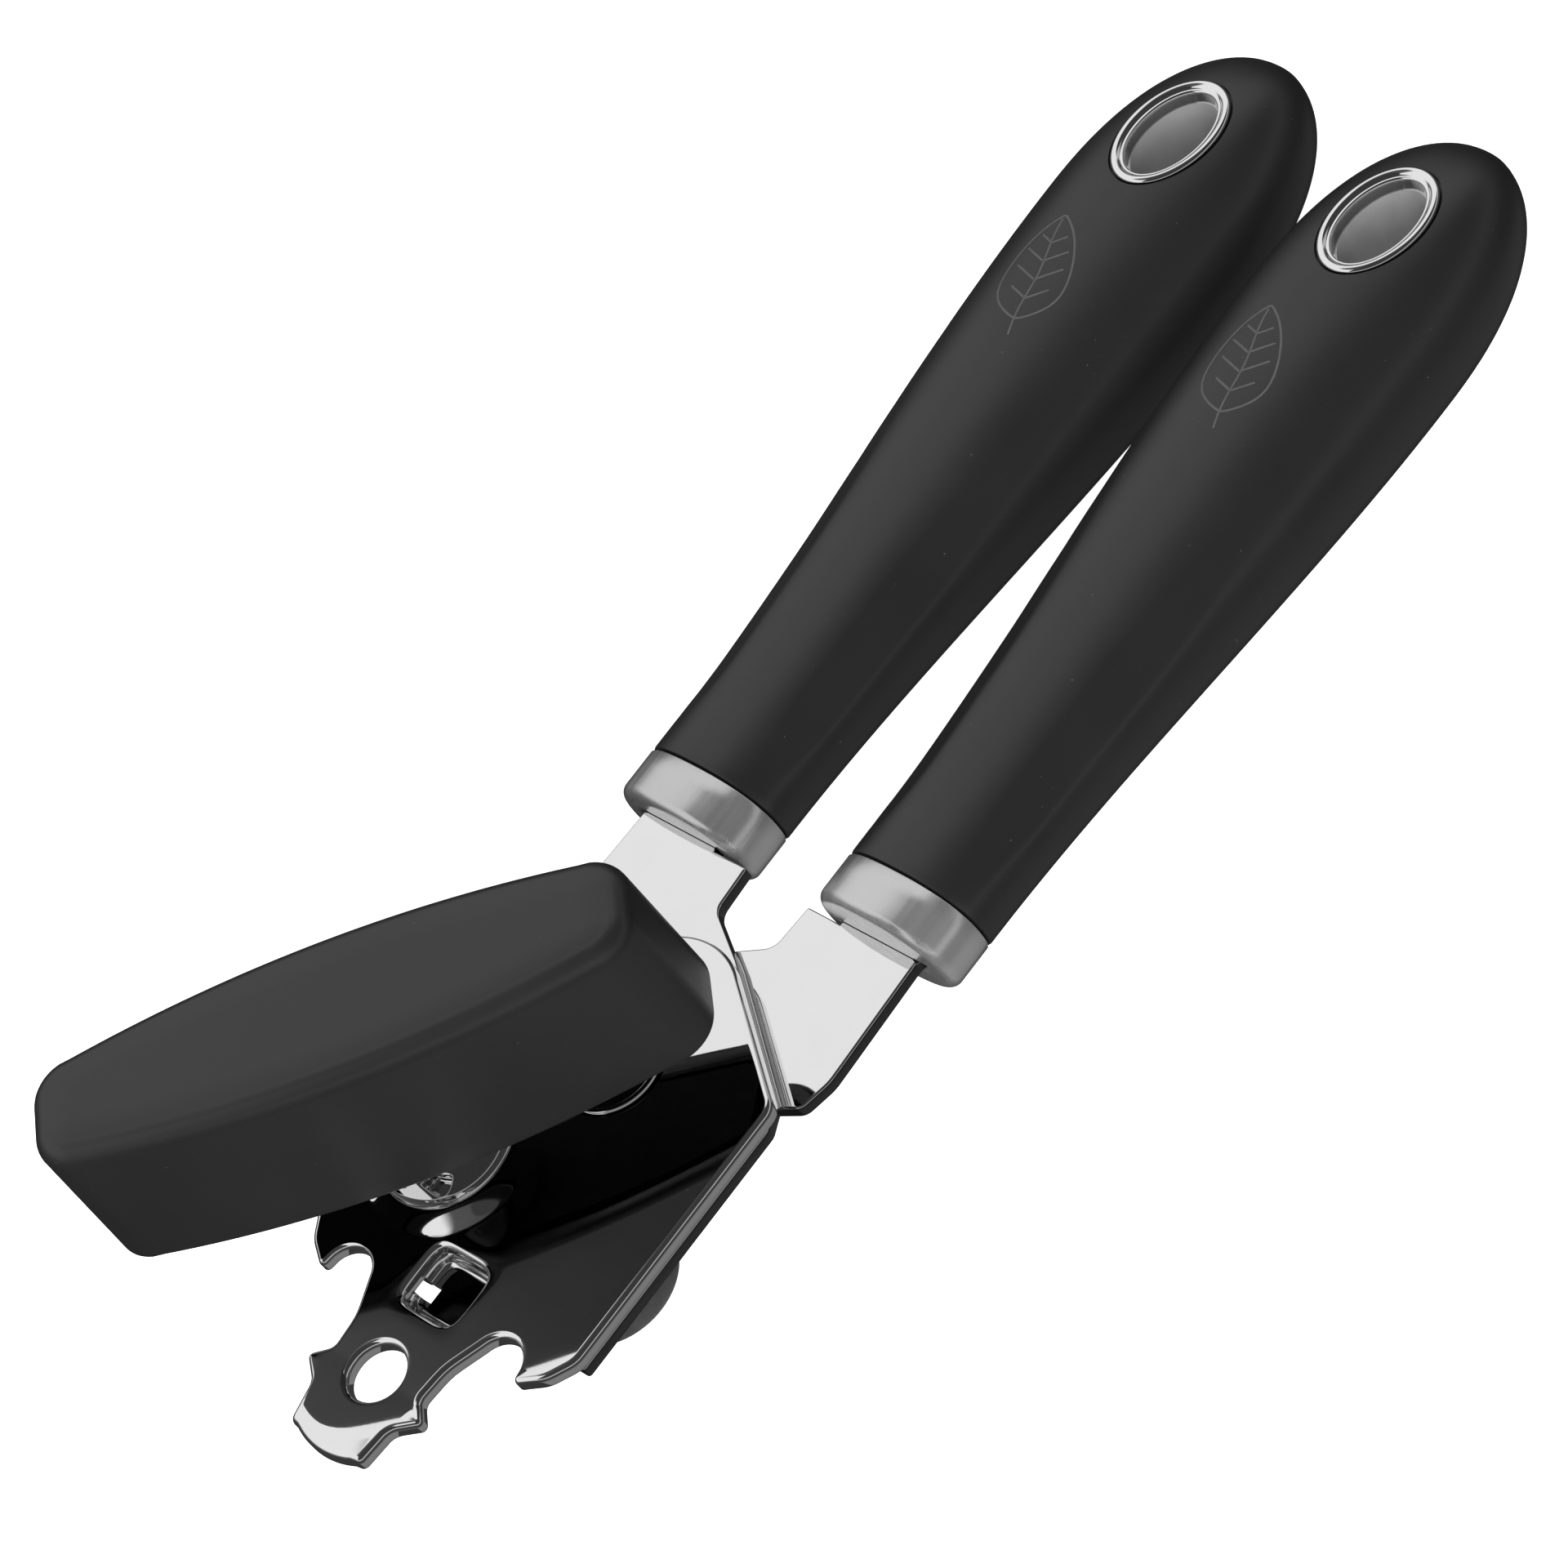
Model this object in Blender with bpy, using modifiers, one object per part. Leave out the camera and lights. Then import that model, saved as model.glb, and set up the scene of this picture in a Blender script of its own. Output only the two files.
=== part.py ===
"""Manual can opener with two soft-touch handles and a turning knob, lying on its back.

Lengths are in metres. The head frame has its origin at the centre of the tip hole, on the front
plate's top face: +X runs towards the handles, +Y towards the left handle and +Z out of the plate.
"""
import math

import bmesh
import bpy
from mathutils import Matrix

MM = 0.001
GAP = 0.3 * MM                          # running and fitting gap between neighbouring pieces

# Where the head frame stands in the world: the whole tool is centred on the origin, base at Z = 0.
HEAD_AT = (-95.2 * MM, -3.85 * MM, 16.1 * MM)

# Sheet-metal head: three flat layers under one another.
PLATE_T = 2.2 * MM
TANG_T = 2.0 * MM
LAYER_GAP = 0.35 * MM
LEFT_TANG_TOP = -PLATE_T - LAYER_GAP
RIGHT_TANG_TOP = LEFT_TANG_TOP - TANG_T - LAYER_GAP
RIGHT_TANG_BOTTOM = RIGHT_TANG_TOP - TANG_T
TIP_HOLE_R = 3.9 * MM
POCKET = (13.2 * MM, 0.0)               # middle of the square pocket
POCKET_HALF = (4.0 * MM, 4.5 * MM)      # half-sizes of its mouth
POCKET_DEPTH = 3.3 * MM
POCKET_WALL = 0.9 * MM
POCKET_TAPER = 0.2                      # how fast its sides lean in
POCKET_POWER = 6.0                      # 2 is an ellipse, more is squarer

# Axes across the head.
PIVOT = (46.6 * MM, 0.0)
SHAFT = (27.9 * MM, 12.0 * MM)
CUTTER = (26.3 * MM, -10.3 * MM)
ON_AXIS = (0.0, 0.0)                    # for pieces whose parent already stands on their axis

# Turned pieces on those axes.
PIVOT_R = 2.7 * MM
RIVET_HEAD_R = 7.0 * MM
PIVOT_WASHER_T = 0.7 * MM
COLLAR_R = 9.0 * MM
COLLAR_BORE_R = 7.3 * MM
BOSS_R = 11.2 * MM
BOSS_H = 1.5 * MM
BUSH_R = 6.0 * MM
BUSH_FLANGE_R = 6.9 * MM
BUSH_FLANGE_T = 1.0 * MM
BUSH_TOP = 6.4 * MM
SPACER_R = 9.0 * MM
SHAFT_R = 3.6 * MM
SHAFT_SQUARE = 2.8 * MM                 # half the side of the shaft's square ends
THREAD_R = 2.4 * MM
FEED_R = 12.4 * MM
FEED_TEETH = 26
FEED_TOOTH = 1.1 * MM
FEED_TOP = RIGHT_TANG_BOTTOM - GAP
FEED_BOTTOM = FEED_TOP - 3.1 * MM
FEED_WASHER_T = 0.8 * MM
NUT_R = 4.6 * MM                        # to the nut's corners

# Cutting wheel, on a stud in the left tang; heights are from the plate's top face.
CUTTER_R = 9.1 * MM
STUD_R = 3.2 * MM                       # the stud where it is held in the tang
STUD_SHOULDER_R = 4.2 * MM
STUD_SHOULDER = -10.6 * MM
AXLE_R = 2.4 * MM
AXLE_END = -14.2 * MM
CUTTER_EDGE = -11.9 * MM
CUTTER_BACK = -12.6 * MM
CUTTER_WASHER_T = 0.3 * MM
CUTTER_CAP = (-14.6 * MM, -13.4 * MM)

# Knob.
KNOB_BASE = 10.1 * MM
KNOB_H = 23.7 * MM
KNOB_L = 80.4 * MM
KNOB_W_MID = 22.9 * MM
KNOB_W_END = 16.4 * MM
KNOB_CORNER = 5.8 * MM
KNOB_DRAFT = 0.45 * MM                  # how far each side leans in from base to top
KNOB_TURN = math.radians(-41.9)
KNOB_WALL = 3.0 * MM
KNOB_BEVEL = 1.6 * MM
SOCKET_DEPTH = 13.0 * MM
COLLAR_TOP = KNOB_BASE - 0.8 * MM
SPRING_WASHER_T = 0.9 * MM
KNOB_WASHER_BORE_R = 4.2 * MM

# Handles: each lies along X at HANDLE_Y to one side of the head.
HANDLE_Y = 17.95 * MM
HANDLE_Z = -5.2 * MM
FERRULE_X = 77.1 * MM
FERRULE_L = 6.8 * MM
FERRULE_WALL = 1.1 * MM
GRIP_X = FERRULE_X + FERRULE_L + GAP
GRIP_END = 202.0 * MM
GRIP_HALF_W = (11.0 * MM, 15.4 * MM)    # at the ferrule, and at the widest place
GRIP_HALF_T = (7.1 * MM, 10.9 * MM)
GRIP_WIDEST = 0.75                      # part of the grip's length where it is widest
GRIP_POWER = 2.4                        # 2 is an ellipse, more is squarer
GRIP_WALL = 2.8 * MM
TAIL_END = 152.0 * MM
TANG_HALF = 7.4 * MM                    # half-width of a tang where it enters its ferrule
TAIL_HALF = 5.2 * MM                    # and of its tail inside the core
EYELET_X = 183.0 * MM
EYELET_TILT = math.radians(8)
EYELET_HALF = (8.6 * MM, 6.5 * MM)      # outer half-sizes of the ring
EYELET_RIM = 1.7 * MM                   # how far the ring reaches beyond its tube
EYELET_TUBE_WALL = 0.8 * MM
EYELET_SEAT = (9.3 * MM, 8.6 * MM)      # from the handle's middle to the top and back rims
EYELET_SPLIT = -2.0 * MM                # where the two halves of the tube meet
BACK_SLOPE = math.tan(2 * EYELET_TILT)  # slope of the grip's underside, seen along the eyelet
CUT_REACH = 20 * MM
REST_Z = HANDLE_Z - GRIP_HALF_T[1]      # the plane that the tool rests on

ROUND = 24                              # segments of a small turned piece
ROUND_LARGE = 32
GRIP_SIDES = 28                         # points round a grip's skin
CORE_SIDES = 20
FERRULE_SIDES = 32

BLACK_SOFT = ("soft_black", (0.02, 0.02, 0.02), 0.6, 0.0)
BLACK_CORE = ("core_black", (0.05, 0.05, 0.05), 0.5, 0.0)
CHROME = ("chrome", (0.8, 0.8, 0.8), 0.05, 1.0)
BRUSHED = ("brushed_steel", (0.55, 0.55, 0.55), 0.3, 1.0)
HARD_STEEL = ("hardened_steel", (0.45, 0.45, 0.46), 0.25, 1.0)
BRASS = ("brass", (0.7, 0.5, 0.25), 0.3, 1.0)


# ---------------------------------------------------------------- scene, objects, materials

def clear_scene():
    for obj in list(bpy.data.objects):
        bpy.data.objects.remove(obj, do_unlink=True)


def new_collection(name):
    collection = bpy.data.collections.new(name)
    bpy.context.scene.collection.children.link(collection)
    return collection


def material(node, finish):
    """One material for each sub-part, in the finish's colour."""
    kind, colour, roughness, metallic = finish
    mat = bpy.data.materials.new(node + "_" + kind)
    mat.use_nodes = True
    shader = mat.node_tree.nodes["Principled BSDF"]
    shader.inputs["Base Color"].default_value = (*colour, 1.0)
    shader.inputs["Roughness"].default_value = roughness
    shader.inputs["Metallic"].default_value = metallic
    mat.diffuse_color = (*colour, 1.0)
    return mat


def empty(name, location, parent=None):
    obj = bpy.data.objects.new(name, None)
    PARTS.objects.link(obj)
    obj.empty_display_size = 0.01
    obj.parent = parent
    obj.location = location
    return obj


def mesh_object(name, bm, collection):
    bmesh.ops.recalc_face_normals(bm, faces=bm.faces)
    mesh = bpy.data.meshes.new(name)
    bm.to_mesh(mesh)
    bm.free()
    obj = bpy.data.objects.new(name, mesh)
    collection.objects.link(obj)
    return obj


def finish_part(obj, finish, parent, smooth=True):
    """Gives a sub-part its name's material, its shading and its parent."""
    obj.data.materials.clear()
    obj.data.materials.append(material(obj.name, finish))
    if smooth:
        obj.data.shade_smooth()
        obj.data.set_sharp_from_angle(angle=math.radians(35))
    obj.parent = parent
    return obj


def cutter(obj):
    """Moves an object among the cutters, which are no part of the model."""
    for collection in list(obj.users_collection):
        collection.objects.unlink(obj)
    CUTTERS.objects.link(obj)
    obj.hide_render = True
    obj.display_type = "WIRE"
    return obj


def boolean(obj, other, operation):
    other.parent = obj.parent
    modifier = obj.modifiers.new(operation.title(), "BOOLEAN")
    modifier.operation = operation
    modifier.solver = "EXACT"
    modifier.object = cutter(other)


# ---------------------------------------------------------------- shape makers

def arc(centre, radius, start, end, count):
    """Points on an arc, angles in degrees."""
    points = []
    for i in range(count + 1):
        angle = math.radians(start + (end - start) * i / count)
        points.append((centre[0] + radius * math.cos(angle), centre[1] + radius * math.sin(angle)))
    return points


def circle(centre, radius, count=ROUND):
    return arc(centre, radius, 0, 360 * (count - 1) / count, count - 1)


def scaled(points, factor=MM):
    return [(x * factor, y * factor) for x, y in points]


def mirrored(points):
    """The same outline on the other side of the X axis."""
    return [(x, -y) for x, y in points]


def sheet(name, outlines, bottom, top, bevel=0.0):
    """A flat piece between two heights: the first outline is its edge, the others are holes."""
    curve = bpy.data.curves.new(name, "CURVE")
    curve.dimensions = "2D"
    curve.fill_mode = "BOTH"
    curve.extrude = (top - bottom) / 2 - bevel
    curve.bevel_depth = bevel
    curve.bevel_resolution = 1
    curve.offset = -bevel
    for outline in outlines:
        spline = curve.splines.new("POLY")
        spline.points.add(len(outline) - 1)
        for point, (x, y) in zip(spline.points, outline):
            point.co = (x, y, 0.0, 1.0)
        spline.use_cyclic_u = True
    source = bpy.data.objects.new(name + "_outline", curve)
    PARTS.objects.link(source)
    source.location.z = (top + bottom) / 2
    bpy.context.view_layer.update()
    graph = bpy.context.evaluated_depsgraph_get()
    mesh = bpy.data.meshes.new_from_object(source.evaluated_get(graph))
    bm = bmesh.new()
    bm.from_mesh(mesh)
    bm.transform(source.matrix_world)
    bmesh.ops.remove_doubles(bm, verts=bm.verts, dist=0.01 * MM)
    bpy.data.objects.remove(source, do_unlink=True)
    bpy.data.meshes.remove(mesh)
    return mesh_object(name, bm, PARTS)


def turned(name, profile, axis, segments=ROUND):
    """A turned piece. The profile's (radius, height) points run down its outer side."""
    closed = all(radius > 0 for radius, _ in profile)
    bm = bmesh.new()
    verts = [bm.verts.new((radius, 0.0, height)) for radius, height in profile]
    pairs = list(zip(verts, verts[1:]))
    if closed:
        pairs.append((verts[-1], verts[0]))
    for a, b in pairs:
        bm.edges.new((a, b))
    mesh = bpy.data.meshes.new(name)
    bm.to_mesh(mesh)
    bm.free()
    obj = bpy.data.objects.new(name, mesh)
    PARTS.objects.link(obj)
    obj.location = (axis[0], axis[1], 0.0)
    screw = obj.modifiers.new("Screw", "SCREW")
    screw.steps = segments
    screw.render_steps = segments
    screw.use_merge_vertices = True
    screw.merge_threshold = 0.00001
    return obj


def loft(name, rings, ring=False):
    """A closed skin over rings of points: capped at both ends, or bent round into a ring."""
    bm = bmesh.new()
    rows = [[bm.verts.new(point) for point in points] for points in rings]
    count = len(rows[0])
    for row, following in zip(rows, rows[1:] + rows[:1] if ring else rows[1:]):
        for i in range(count):
            j = (i + 1) % count
            bm.faces.new((row[i], row[j], following[j], following[i]))
    if not ring:
        bm.faces.new(rows[0])
        bm.faces.new(rows[-1])
    return mesh_object(name, bm, PARTS)


def superellipse(half_a, half_b, count, power):
    """Points round a curve between an ellipse and a rectangle, of the given half-sizes."""
    points = []
    for i in range(count):
        angle = 2 * math.pi * i / count
        c, s = math.cos(angle), math.sin(angle)
        a = math.copysign(abs(c) ** (2 / power), c) * half_a
        b = math.copysign(abs(s) ** (2 / power), s) * half_b
        points.append((a, b))
    return points


def oval(x, centre, half_w, half_t, count):
    """A handle's oval ring across X."""
    points = superellipse(half_w, half_t, count, GRIP_POWER)
    return [(x, centre[0] + y, centre[1] + z) for y, z in points]


def oval_row(half, z, slope=0.0, power=2.0):
    """An oval ring across Z, which may slope along X."""
    points = superellipse(half[0], half[1], GRIP_SIDES, power)
    return [(x, y, z + slope * x) for x, y in points]


def box(name, low, high):
    bm = bmesh.new()
    bmesh.ops.create_cube(bm, size=1.0)
    size = [h - l for l, h in zip(low, high)]
    middle = [(h + l) / 2 for l, h in zip(low, high)]
    bmesh.ops.scale(bm, vec=size, verts=bm.verts)
    bmesh.ops.translate(bm, vec=middle, verts=bm.verts)
    return mesh_object(name, bm, PARTS)


# ---------------------------------------------------------------- sheet-metal head

def front_plate_half():
    """The front plate's edge on the +Y side, from the tip to the handle end, in millimetres."""
    tip = arc((0.4, 0), 11.9, 176, 150, 4)
    spike = [(-5.2, 7.0), (-4.1, 7.9), (-3.0, 9.6), (-2.4, 10.1), (-1.8, 9.6), (-1.0, 8.1), (0.3, 7.6)]
    neck = [(2.4, 7.7), (5.2, 8.4), (9.3, 10.0)]
    notch = arc((8.3, 13.8), 3.9, -55, 82, 7)
    hook = [(7.5, 17.2), (6.9, 17.7), (7.5, 18.8), (9.9, 21.4), (12.6, 23.0)]
    side = [(15.5, 23.4), (49.4, 23.4), (51.3, 23.0), (52.6, 21.9)]
    end = arc((55.0, 0), 10.6, 35, 4, 4)
    return tip + spike + neck + notch + hook + side + end


def make_front_plate(parent):
    """Top plate: lid lifter at the tip, two bottle-opener hooks, a pocket and a boss."""
    half = scaled(front_plate_half())
    edge = half + mirrored(reversed(half))
    outlines = [edge, circle((0, 0), TIP_HOLE_R), circle(PIVOT, PIVOT_R + GAP)]
    outlines.append(circle(SHAFT, BOSS_R - 0.9 * MM, ROUND_LARGE))
    plate = sheet("front_plate", outlines, -PLATE_T, 0.0)
    finish_part(plate, CHROME, parent)
    boolean(plate, make_boss(), "UNION")
    boolean(plate, pocket_form("pocket_cup", POCKET_WALL, -0.5 * MM), "UNION")
    boolean(plate, pocket_form("pocket_hollow", 0.0, 1.0 * MM), "DIFFERENCE")
    return plate


def make_boss():
    """Flared emboss round the shaft, which raises the plate under the collar."""
    bore = BUSH_R + GAP
    profile = [
        (bore, BOSS_H),
        (COLLAR_R + 0.6 * MM, BOSS_H),
        (COLLAR_R + 1.2 * MM, 0.9 * MM),
        (BOSS_R - 0.4 * MM, -0.1 * MM),
        (BOSS_R, -0.3 * MM),
        (BOSS_R, 0.3 * MM - PLATE_T),
        (COLLAR_R + 1.0 * MM, 0.3 * MM - PLATE_T),
        (COLLAR_R - 0.3 * MM, BOSS_H - PLATE_T),
        (bore, BOSS_H - PLATE_T),
    ]
    return turned("boss_form", profile, SHAFT, ROUND_LARGE)


def pocket_form(name, wall, top):
    """The square pocket's hollow, or its outside when wall is the thickness of its sides."""
    bottom = -POCKET_DEPTH - wall
    rows = []
    for z in (top, bottom):
        half = [size + wall + POCKET_TAPER * z for size in POCKET_HALF]
        row = oval_row(half, z, power=POCKET_POWER)
        rows.append([(POCKET[0] + x, POCKET[1] + y, z) for x, y, z in row])
    return loft(name, rows)


def tang_half():
    """A tang's edge for the left handle, in millimetres, without its tail.

    The blade starts at the ferrule, passes the pivot and crosses to the other side of the head.
    """
    outer = [(76.7, 23.8), (58.9, 24.5), (56.6, 24.3), (54.4, 23.4), (52.8, 21.6)]
    crossing = [(50.0, 14.6), (48.2, 10.6)] + arc((45.5, 0), 9.2, 72, 128, 4)
    beside_shaft = [(37.4, 3.0), (34.5, 0.4), (28.0, -0.6), (21.5, -1.2), (19.6, -3.4), (18.9, -6.4)]
    blade = [(13.5, -7.0), (13.5, -23.4), (49.6, -23.4), (51.5, -23.0), (52.8, -21.8)]
    slant = [(56.5, -16.2), (66.0, -2.8)]
    inner = [(69.2, 2.6), (71.2, 4.4), (76.7, 4.8)]
    return outer + crossing + beside_shaft + blade + slant + inner


def make_tang(name, side, top, parent):
    """One of the two levers: its blade and the tail inside the handle; side is +1 for the left."""
    blade_end = FERRULE_X - 0.4 * MM
    step = FERRULE_X + FERRULE_WALL
    near, far = HANDLE_Y - TANG_HALF, HANDLE_Y + TANG_HALF
    tail_near, tail_far = HANDLE_Y - TAIL_HALF, HANDLE_Y + TAIL_HALF
    tail = [(blade_end, near), (step, near), (step, tail_near), (TAIL_END, tail_near)]
    tail += [(TAIL_END, tail_far), (step, tail_far), (step, far)]
    edge = scaled(tang_half()) + tail
    other_axis = CUTTER if side > 0 else SHAFT
    other_r = STUD_R if side > 0 else BUSH_R
    if side < 0:
        edge = mirrored(edge)
    holes = [circle(PIVOT, PIVOT_R + GAP), circle(other_axis, other_r + GAP)]
    tang = sheet(name, [edge] + holes, top - TANG_T, top)
    return finish_part(tang, CHROME, parent)


# ---------------------------------------------------------------- pivot

def make_pivot(parent):
    """Rivet with a low domed head, and the washer under its back head."""
    back = RIGHT_TANG_BOTTOM - GAP
    head_low = back - PIVOT_WASHER_T - GAP
    rivet = turned("pivot_rivet", [
        (0.0, 2.2 * MM),
        (2.6 * MM, 2.1 * MM),
        (4.8 * MM, 1.7 * MM),
        (6.3 * MM, 1.1 * MM),
        (RIVET_HEAD_R, 0.6 * MM),
        (RIVET_HEAD_R, GAP),
        (PIVOT_R, GAP),
        (PIVOT_R, head_low),
        (4.2 * MM, head_low),
        (3.9 * MM, head_low - 1.1 * MM),
        (0.0, head_low - 1.5 * MM),
    ], PIVOT)
    finish_part(rivet, CHROME, parent)
    washer = turned("pivot_washer", [
        (5.2 * MM, back),
        (5.2 * MM, back - PIVOT_WASHER_T),
        (PIVOT_R + GAP, back - PIVOT_WASHER_T),
        (PIVOT_R + GAP, back),
    ], PIVOT)
    finish_part(washer, BRUSHED, parent)


# ---------------------------------------------------------------- shaft, knob and feed wheel

def ring(name, outer, inner, low, high, axis, finish, parent):
    """A plain ring, such as a washer or a spacer."""
    chamfer = min(0.3 * MM, (high - low) / 4)
    obj = turned(name, [
        (outer - chamfer, high),
        (outer, high - chamfer),
        (outer, low + chamfer),
        (outer - chamfer, low),
        (inner, low),
        (inner, high),
    ], axis)
    return finish_part(obj, finish, parent)


def make_shaft_bearing(parent):
    """Collar and bush that hold the drive shaft in the head."""
    foot = BOSS_H + GAP
    ring("shaft_collar", COLLAR_R, COLLAR_BORE_R, foot, COLLAR_TOP, SHAFT, CHROME, parent)
    bush = turned("shaft_bush", [
        (BUSH_R, BUSH_TOP),
        (BUSH_R, foot + BUSH_FLANGE_T),
        (BUSH_FLANGE_R, foot + BUSH_FLANGE_T),
        (BUSH_FLANGE_R, foot),
        (BUSH_R, foot),
        (BUSH_R, RIGHT_TANG_BOTTOM),
        (SHAFT_R + GAP, RIGHT_TANG_BOTTOM),
        (SHAFT_R + GAP, BUSH_TOP),
    ], SHAFT)
    finish_part(bush, BRASS, parent)
    low = RIGHT_TANG_TOP + GAP
    high = -PLATE_T - GAP
    ring("spacer_ring", SPACER_R, BUSH_R + GAP, low, high, SHAFT, BRUSHED, parent)


def square(half):
    return [(-half, -half), (half, -half), (half, half), (-half, half)]


def make_drive_shaft(parent):
    """Shaft with a square end in the knob, a square for the feed wheel and a threaded end."""
    shoulder = KNOB_BASE - 0.4 * MM
    step = FEED_TOP + 0.2 * MM
    end = REST_Z + 0.5 * MM
    profile = [(0.0, shoulder), (SHAFT_R, shoulder), (SHAFT_R, step)]
    profile += [(THREAD_R, step), (THREAD_R, end), (0.0, end)]
    shaft = turned("drive_shaft", profile, ON_AXIS)
    finish_part(shaft, HARD_STEEL, parent)
    top = KNOB_BASE + SOCKET_DEPTH
    upper = sheet("shaft_top_form", [square(SHAFT_SQUARE)], KNOB_BASE - 1.0 * MM, top)
    lower = sheet("shaft_foot_form", [square(SHAFT_SQUARE - GAP)], FEED_BOTTOM, FEED_TOP + 0.5 * MM)
    boolean(shaft, upper, "UNION")
    boolean(shaft, lower, "UNION")


def make_feed_wheel(parent):
    """Toothed wheel that drives the can's rim, with its washer and nut."""
    edge = []
    for i in range(FEED_TEETH):
        tooth = 2 * math.pi * i / FEED_TEETH
        for part, radius in ((0.0, FEED_R - FEED_TOOTH), (0.35, FEED_R), (0.65, FEED_R)):
            angle = tooth + part * 2 * math.pi / FEED_TEETH
            edge.append((radius * math.cos(angle), radius * math.sin(angle)))
    wheel = sheet("feed_wheel", [edge, square(SHAFT_SQUARE)], FEED_BOTTOM, FEED_TOP - 0.1 * MM)
    finish_part(wheel, HARD_STEEL, parent, smooth=False)
    high = FEED_BOTTOM - GAP
    low = high - FEED_WASHER_T
    ring("feed_washer", 5.5 * MM, THREAD_R + 0.4 * MM, low, high, ON_AXIS, BRUSHED, parent)
    hexagon = circle(ON_AXIS, NUT_R, 6)
    hole = circle(ON_AXIS, THREAD_R + GAP, 16)
    nut = sheet("shaft_nut", [hexagon, hole], REST_Z, low - GAP)
    finish_part(nut, BRUSHED, parent, smooth=False)


def knob_outline(inset):
    """Boat-shaped outline of the knob: bulged long sides, curved ends and round corners."""
    half_l = KNOB_L / 2 - inset
    end_w = KNOB_W_END / 2 - inset
    mid_w = KNOB_W_MID / 2 - inset
    corner = max(KNOB_CORNER - inset, 1.5 * MM)
    side = []
    for i in range(-3, 4):
        x = (half_l - corner) * i / 3
        side.append((x, mid_w - (mid_w - end_w) * (i / 3) ** 2))
    turn = arc((half_l - corner, end_w - corner), corner, 80, 10, 3)
    half = side + turn
    return half + [(-x, -y) for x, y in half]


def drafted(obj, low, high):
    """Narrows a piece towards its top, evenly on all sides."""
    for vert in obj.data.vertices:
        share = (vert.co.z - low) / (high - low)
        vert.co.x *= 1 - KNOB_DRAFT * share / (KNOB_L / 2)
        vert.co.y *= 1 - KNOB_DRAFT * share / (KNOB_W_MID / 2)


def make_knob(parent):
    """Soft-touch shell over a hard core with a square socket for the shaft."""
    top = KNOB_BASE + KNOB_H
    core_top = top - KNOB_WALL - GAP
    shell = sheet("knob_shell", [knob_outline(0.0)], KNOB_BASE, top, bevel=KNOB_BEVEL)
    drafted(shell, KNOB_BASE, top)
    finish_part(shell, BLACK_SOFT, parent)
    hollow = sheet("knob_hollow", [knob_outline(KNOB_WALL)], KNOB_BASE - 1.0 * MM, core_top + GAP)
    drafted(hollow, KNOB_BASE, top)
    boolean(shell, hollow, "DIFFERENCE")
    core = sheet("knob_core", [knob_outline(KNOB_WALL + GAP)], KNOB_BASE, core_top)
    drafted(core, KNOB_BASE, top)
    finish_part(core, BLACK_CORE, parent)
    socket_top = KNOB_BASE + SOCKET_DEPTH + GAP
    socket = sheet("knob_socket", [square(SHAFT_SQUARE + GAP)], KNOB_BASE - 1.0 * MM, socket_top)
    boolean(core, socket, "DIFFERENCE")
    counterbore = turned("knob_counterbore", [
        (0.0, KNOB_BASE + GAP),
        (SHAFT_R + GAP, KNOB_BASE + GAP),
        (SHAFT_R + GAP, KNOB_BASE - 1.0 * MM),
        (0.0, KNOB_BASE - 1.0 * MM),
    ], ON_AXIS)
    boolean(core, counterbore, "DIFFERENCE")


def make_knob_washers(parent):
    """Spring washer on the bush, and the thrust washer between it and the knob."""
    bore = KNOB_WASHER_BORE_R
    low = BUSH_TOP + GAP
    high = low + SPRING_WASHER_T
    ring("spring_washer", 6.4 * MM, bore, low, high, ON_AXIS, BRUSHED, parent)
    ring("thrust_washer", 6.6 * MM, bore, high + GAP, KNOB_BASE - GAP, ON_AXIS, BRUSHED, parent)


# ---------------------------------------------------------------- cutting wheel

def make_cutter_axle(parent):
    """Stud in the left tang, with the cap that keeps the cutting wheel on."""
    seat = LEFT_TANG_TOP - TANG_T - GAP
    axle = turned("cutter_axle", [
        (0.0, LEFT_TANG_TOP - 0.1 * MM),
        (STUD_R, LEFT_TANG_TOP - 0.1 * MM),
        (STUD_R, seat),
        (STUD_SHOULDER_R, seat),
        (STUD_SHOULDER_R, STUD_SHOULDER),
        (AXLE_R, STUD_SHOULDER),
        (AXLE_R, AXLE_END),
        (0.0, AXLE_END),
    ], CUTTER)
    finish_part(axle, HARD_STEEL, parent)
    low, high = CUTTER_CAP
    ring("cutter_cap", 4.0 * MM, AXLE_R + GAP, low, high, CUTTER, BRUSHED, parent)


def make_cutting_wheel(parent):
    """Sharp dished disc that turns freely on its stud, and its washer."""
    bore = AXLE_R + GAP
    half_edge = 0.05 * MM
    top = STUD_SHOULDER - GAP
    wheel = turned("cutting_wheel", [
        (4.6 * MM, top),
        (5.6 * MM, CUTTER_EDGE + 0.6 * MM),
        (CUTTER_R, CUTTER_EDGE + half_edge),
        (CUTTER_R, CUTTER_EDGE - half_edge),
        (5.4 * MM, CUTTER_BACK),
        (bore, CUTTER_BACK),
        (bore, top),
    ], ON_AXIS, 40)
    finish_part(wheel, HARD_STEEL, parent)
    high = CUTTER_BACK - 0.25 * MM
    ring("cutter_washer", 3.8 * MM, bore, high - CUTTER_WASHER_T, high, ON_AXIS, BRUSHED, parent)


# ---------------------------------------------------------------- handles

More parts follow.
